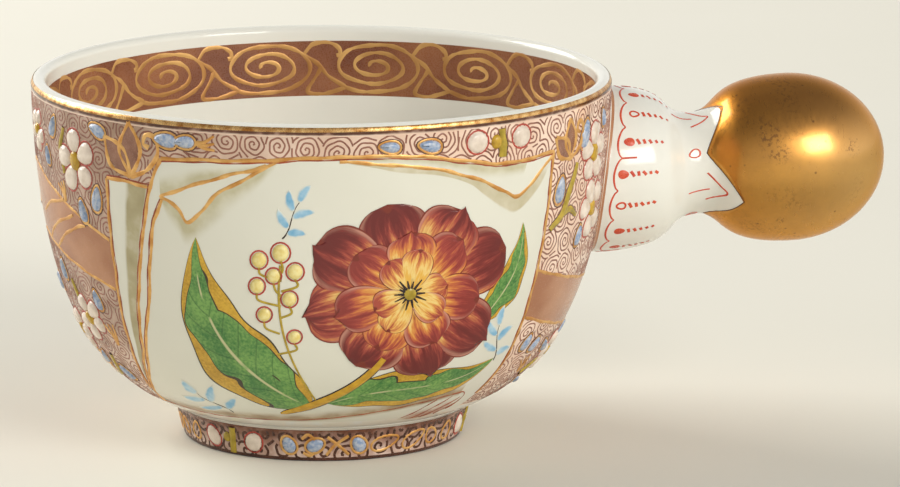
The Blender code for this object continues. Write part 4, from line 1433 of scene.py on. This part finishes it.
maroon_petal = petal_enamel("maroon_petal_enamel", "#2A1C18",
                            "#E8C878", "#D08A50", "#A84A3C", "#7E2E2A", "#6A2422")
orange_petal = petal_enamel("orange_petal_enamel", "#2E1E18",
                            "#EED084", "#E2A24E", "#CC7440", "#A4443A", "#8A342E")
yellow_petal = petal_enamel("yellow_petal_enamel", "#1E1614",
                            "#E6B24E", "#F0D488", "#E8B45C", "#D0824A", "#A84A3A")
golden_enamel = mottled("golden_brown_enamel", "#D2A42C", "#B88A1E", 1.2, 0.2)
berry_enamel = mottled("yellow_relief_enamel", "#F0E2A0", "#E2CB74", 0.6, 0.34)
dark_enamel = mottled("black_brown_enamel", "#3A2A22", "#241814", 1.0, 0.25)
sprig_wash = panel_shade("turquoise_wash", "#B4D4E4", "#74AED2", 1.8, sides=0.34, base=0.15, tip=0.25)
paint(wall, "bowl_porcelain",
      ("painted_petals", sheets(16, 24, outer_petals), maroon_petal),
      ("painted_middle_petals", sheets(14, 20, middle_petals), orange_petal),
      ("painted_inner_petals", sheets(12, 18, inner_petals), yellow_petal),
      ("painted_eye", pads(eyes, 0.5, 0.3, 0.26), olive_enamel),
      ("painted_stamens", drawn(stamens, 0.34, 0.08, lift=0.29), dark_enamel),
      ("painted_leaves", sheets(14, 44, leaves), leaf_enamel("green_and_gold_enamel")),
      ("painted_stem_edges", drawn(stems, 1.6, 0.1, rounded=1, lift=0.05), dark_enamel),
      ("painted_stems", drawn(stems, 1.3, 0.2, rounded=2, lift=0.06), golden_enamel),
      ("painted_sprigs", sheets(8, 14, leaflets), sprig_wash),
      ("painted_vine_lines", drawn(vine_lines, 0.17, 0.04, lift=0.055), dark_enamel),
      ("painted_stalks", drawn(stalks, 0.32, 0.08, rounded=1, lift=0.05), olive_enamel),
      ("painted_berries", pads(berries, 0.5, 0.45, 0.06), berry_enamel),
      ("painted_berry_rings", drawn(berry_rings, 0.22, 0.08, lift=0.06, closed=True), red_enamel_line))

# Floor: one wide sheet of pale warm paper, laid flat, whose far edge rises a little. Well away from the
# cup, past its shadow, the paper fades to one even tone for the eye and for reflections, and lights
# nothing. Sizes are in metres.
FLOOR_HALF_WIDTH = 10.0
FLOOR_FLAT_HALF_WIDTH = 2.0
FLOOR_EDGE_RISE = 0.4
FADE_START = 0.36
FADE_END = 0.8
paper, paper_tree, paper_shader, paper_place = new_finish("matt_floor_paper")
mottle = add(paper_tree, "TexNoise", {"Vector": paper_place, "Scale": 1 / (60 * MM), "Detail": 2.0})
paper_tone = add(paper_tree, "Mix", (mottle, "#EDEADF", "#E9E6DA"), data_type="RGBA")
lit_paper = add(paper_tree, paper_shader, {"Base Color": paper_tone, "Roughness": 0.9})
far_off = add(paper_tree, "VectorMath", (paper_place,), operation="LENGTH")
seen = add(paper_tree, "MapRange", (far_off, FADE_START, FADE_END), interpolation_type="SMOOTHSTEP")
ray = add(paper_tree, "LightPath", {}).node.outputs
mirrored = add(paper_tree, "Math", (ray["Is Glossy Ray"], ray["Is Transmission Ray"]), operation="MAXIMUM")
looked_at = add(paper_tree, "Math", (ray["Is Camera Ray"], mirrored), operation="MAXIMUM")
faded = add(paper_tree, "Math", (seen, looked_at), operation="MULTIPLY")
far_tone = add(paper_tree, "Emission", {"Color": "#E8E4D6"})
paper_mix = add(paper_tree, "MixShader", (faded, lit_paper, far_tone))
add(paper_tree, paper_tree.nodes["Material Output"], {"Surface": paper_mix})
paper_sheet = bmesh.new()
far_edge = bmesh.ops.create_grid(paper_sheet, x_segments=1, y_segments=1, size=FLOOR_HALF_WIDTH)["verts"]
bmesh.ops.inset_region(paper_sheet, faces=paper_sheet.faces[:], use_boundary=True, use_even_offset=True,
                       thickness=FLOOR_HALF_WIDTH - FLOOR_FLAT_HALF_WIDTH)
bmesh.ops.translate(paper_sheet, verts=far_edge, vec=(0, 0, FLOOR_EDGE_RISE))
floor = bpy.data.objects.new("paper_floor", finished(paper_sheet))
floor.data.name = "paper_floor"
floor.data.materials.append(paper)
bpy.context.scene.collection.objects.link(floor)

# Light: a wide soft box behind the cup on the left, which lights the paper and throws the cup's soft
# shadow to the right, a small soft box to the right of the camera, which shows in the gold and on the
# bell, and a pale room that is darker overhead, with low daylight from the camera's side.


def soft_box(name, place, target, size, power):
    """A soft box that faces a target."""
    lamp = bpy.data.lights.new(name, "AREA")
    lamp.shape = "RECTANGLE"
    lamp.size, lamp.size_y = size
    lamp.energy = power
    lamp.color = linear("#FFFDF8")[:3]
    box = bpy.data.objects.new(name, lamp)
    box.location = place
    box.rotation_euler = (Vector(target) - Vector(place)).to_track_quat("-Z", "Y").to_euler()
    bpy.context.scene.collection.objects.link(box)


soft_box("left_box", (-0.70, 0.64, 0.52), (0.1, 0.4, 0.08), (0.7, 0.6), 10.3)
soft_box("right_box", (0.47, -0.8, 0.46), (0, 0, 0.02), (0.5, 0.37), 5.0)
TO_WINDOW = (0.34, -0.94, 0.0)
world = bpy.data.worlds.new("studio_room")
world.use_nodes = True
sky = world.node_tree
direction = add(sky, "TexCoord", {}, "Generated")
toward = add(sky, "SeparateXYZ", (direction,)).node.outputs
ceiling = add(sky, "MapRange", (toward["Z"], 0.12, 0.7, 1.0, 0.31))
behind = add(sky, "MapRange", (toward["Y"], -0.5, 0.6, 0.28, 1.0))
beside = add(sky, "MapRange", (toward["X"], 0.3, 0.9, 0.28, 0.95))
walls = add(sky, "Math", (behind, beside), operation="MAXIMUM")
room = add(sky, "Math", (ceiling, walls), operation="MULTIPLY")
facing_window = add(sky, "VectorMath", (direction, TO_WINDOW), operation="DOT_PRODUCT")
ahead_of_cup = add(sky, "MapRange", (facing_window, -0.2, 0.6))
window = add(sky, "MapRange", (toward["Z"], 0.3, 1.0, 0.46, 0.19))
daylight = add(sky, "Math", (ahead_of_cup, window), operation="MULTIPLY")
total = add(sky, "Math", (room, daylight), operation="ADD")
add(sky, sky.nodes["Background"], {"Color": "#FFFEFA", "Strength": total})
bpy.context.scene.world = world
bpy.context.scene.view_settings.view_transform = "Standard"

# Camera: a long lens at table height, a little to the left of square on, with the cup's axis left
# of the middle of the picture.
CAMERA_TURN_DEG = -9.0
CAMERA_RISE_DEG = 11.54
CAMERA_DISTANCE = 846.05 * MM
AIM_RIGHT_OF_AXIS = 15.96 * MM
AIM_HEIGHT = 23.84 * MM
LENS_MM = 271.1
SENSOR_MM = 36.0
turn = math.radians(CAMERA_TURN_DEG)
rise = math.radians(CAMERA_RISE_DEG)
rightward = Vector((math.cos(turn), math.sin(turn), 0))
ahead = Vector((-math.sin(turn) * math.cos(rise), math.cos(turn) * math.cos(rise), -math.sin(rise)))
lens = bpy.data.cameras.new("photo_camera")
lens.lens = LENS_MM
lens.sensor_width = SENSOR_MM
lens.sensor_fit = "HORIZONTAL"
camera = bpy.data.objects.new("photo_camera", lens)
camera.location = Vector((CUP_X, 0, AIM_HEIGHT)) + AIM_RIGHT_OF_AXIS * rightward - CAMERA_DISTANCE * ahead
camera.rotation_euler = ahead.to_track_quat("-Z", "Y").to_euler()
bpy.context.scene.collection.objects.link(camera)
bpy.context.scene.camera = camera
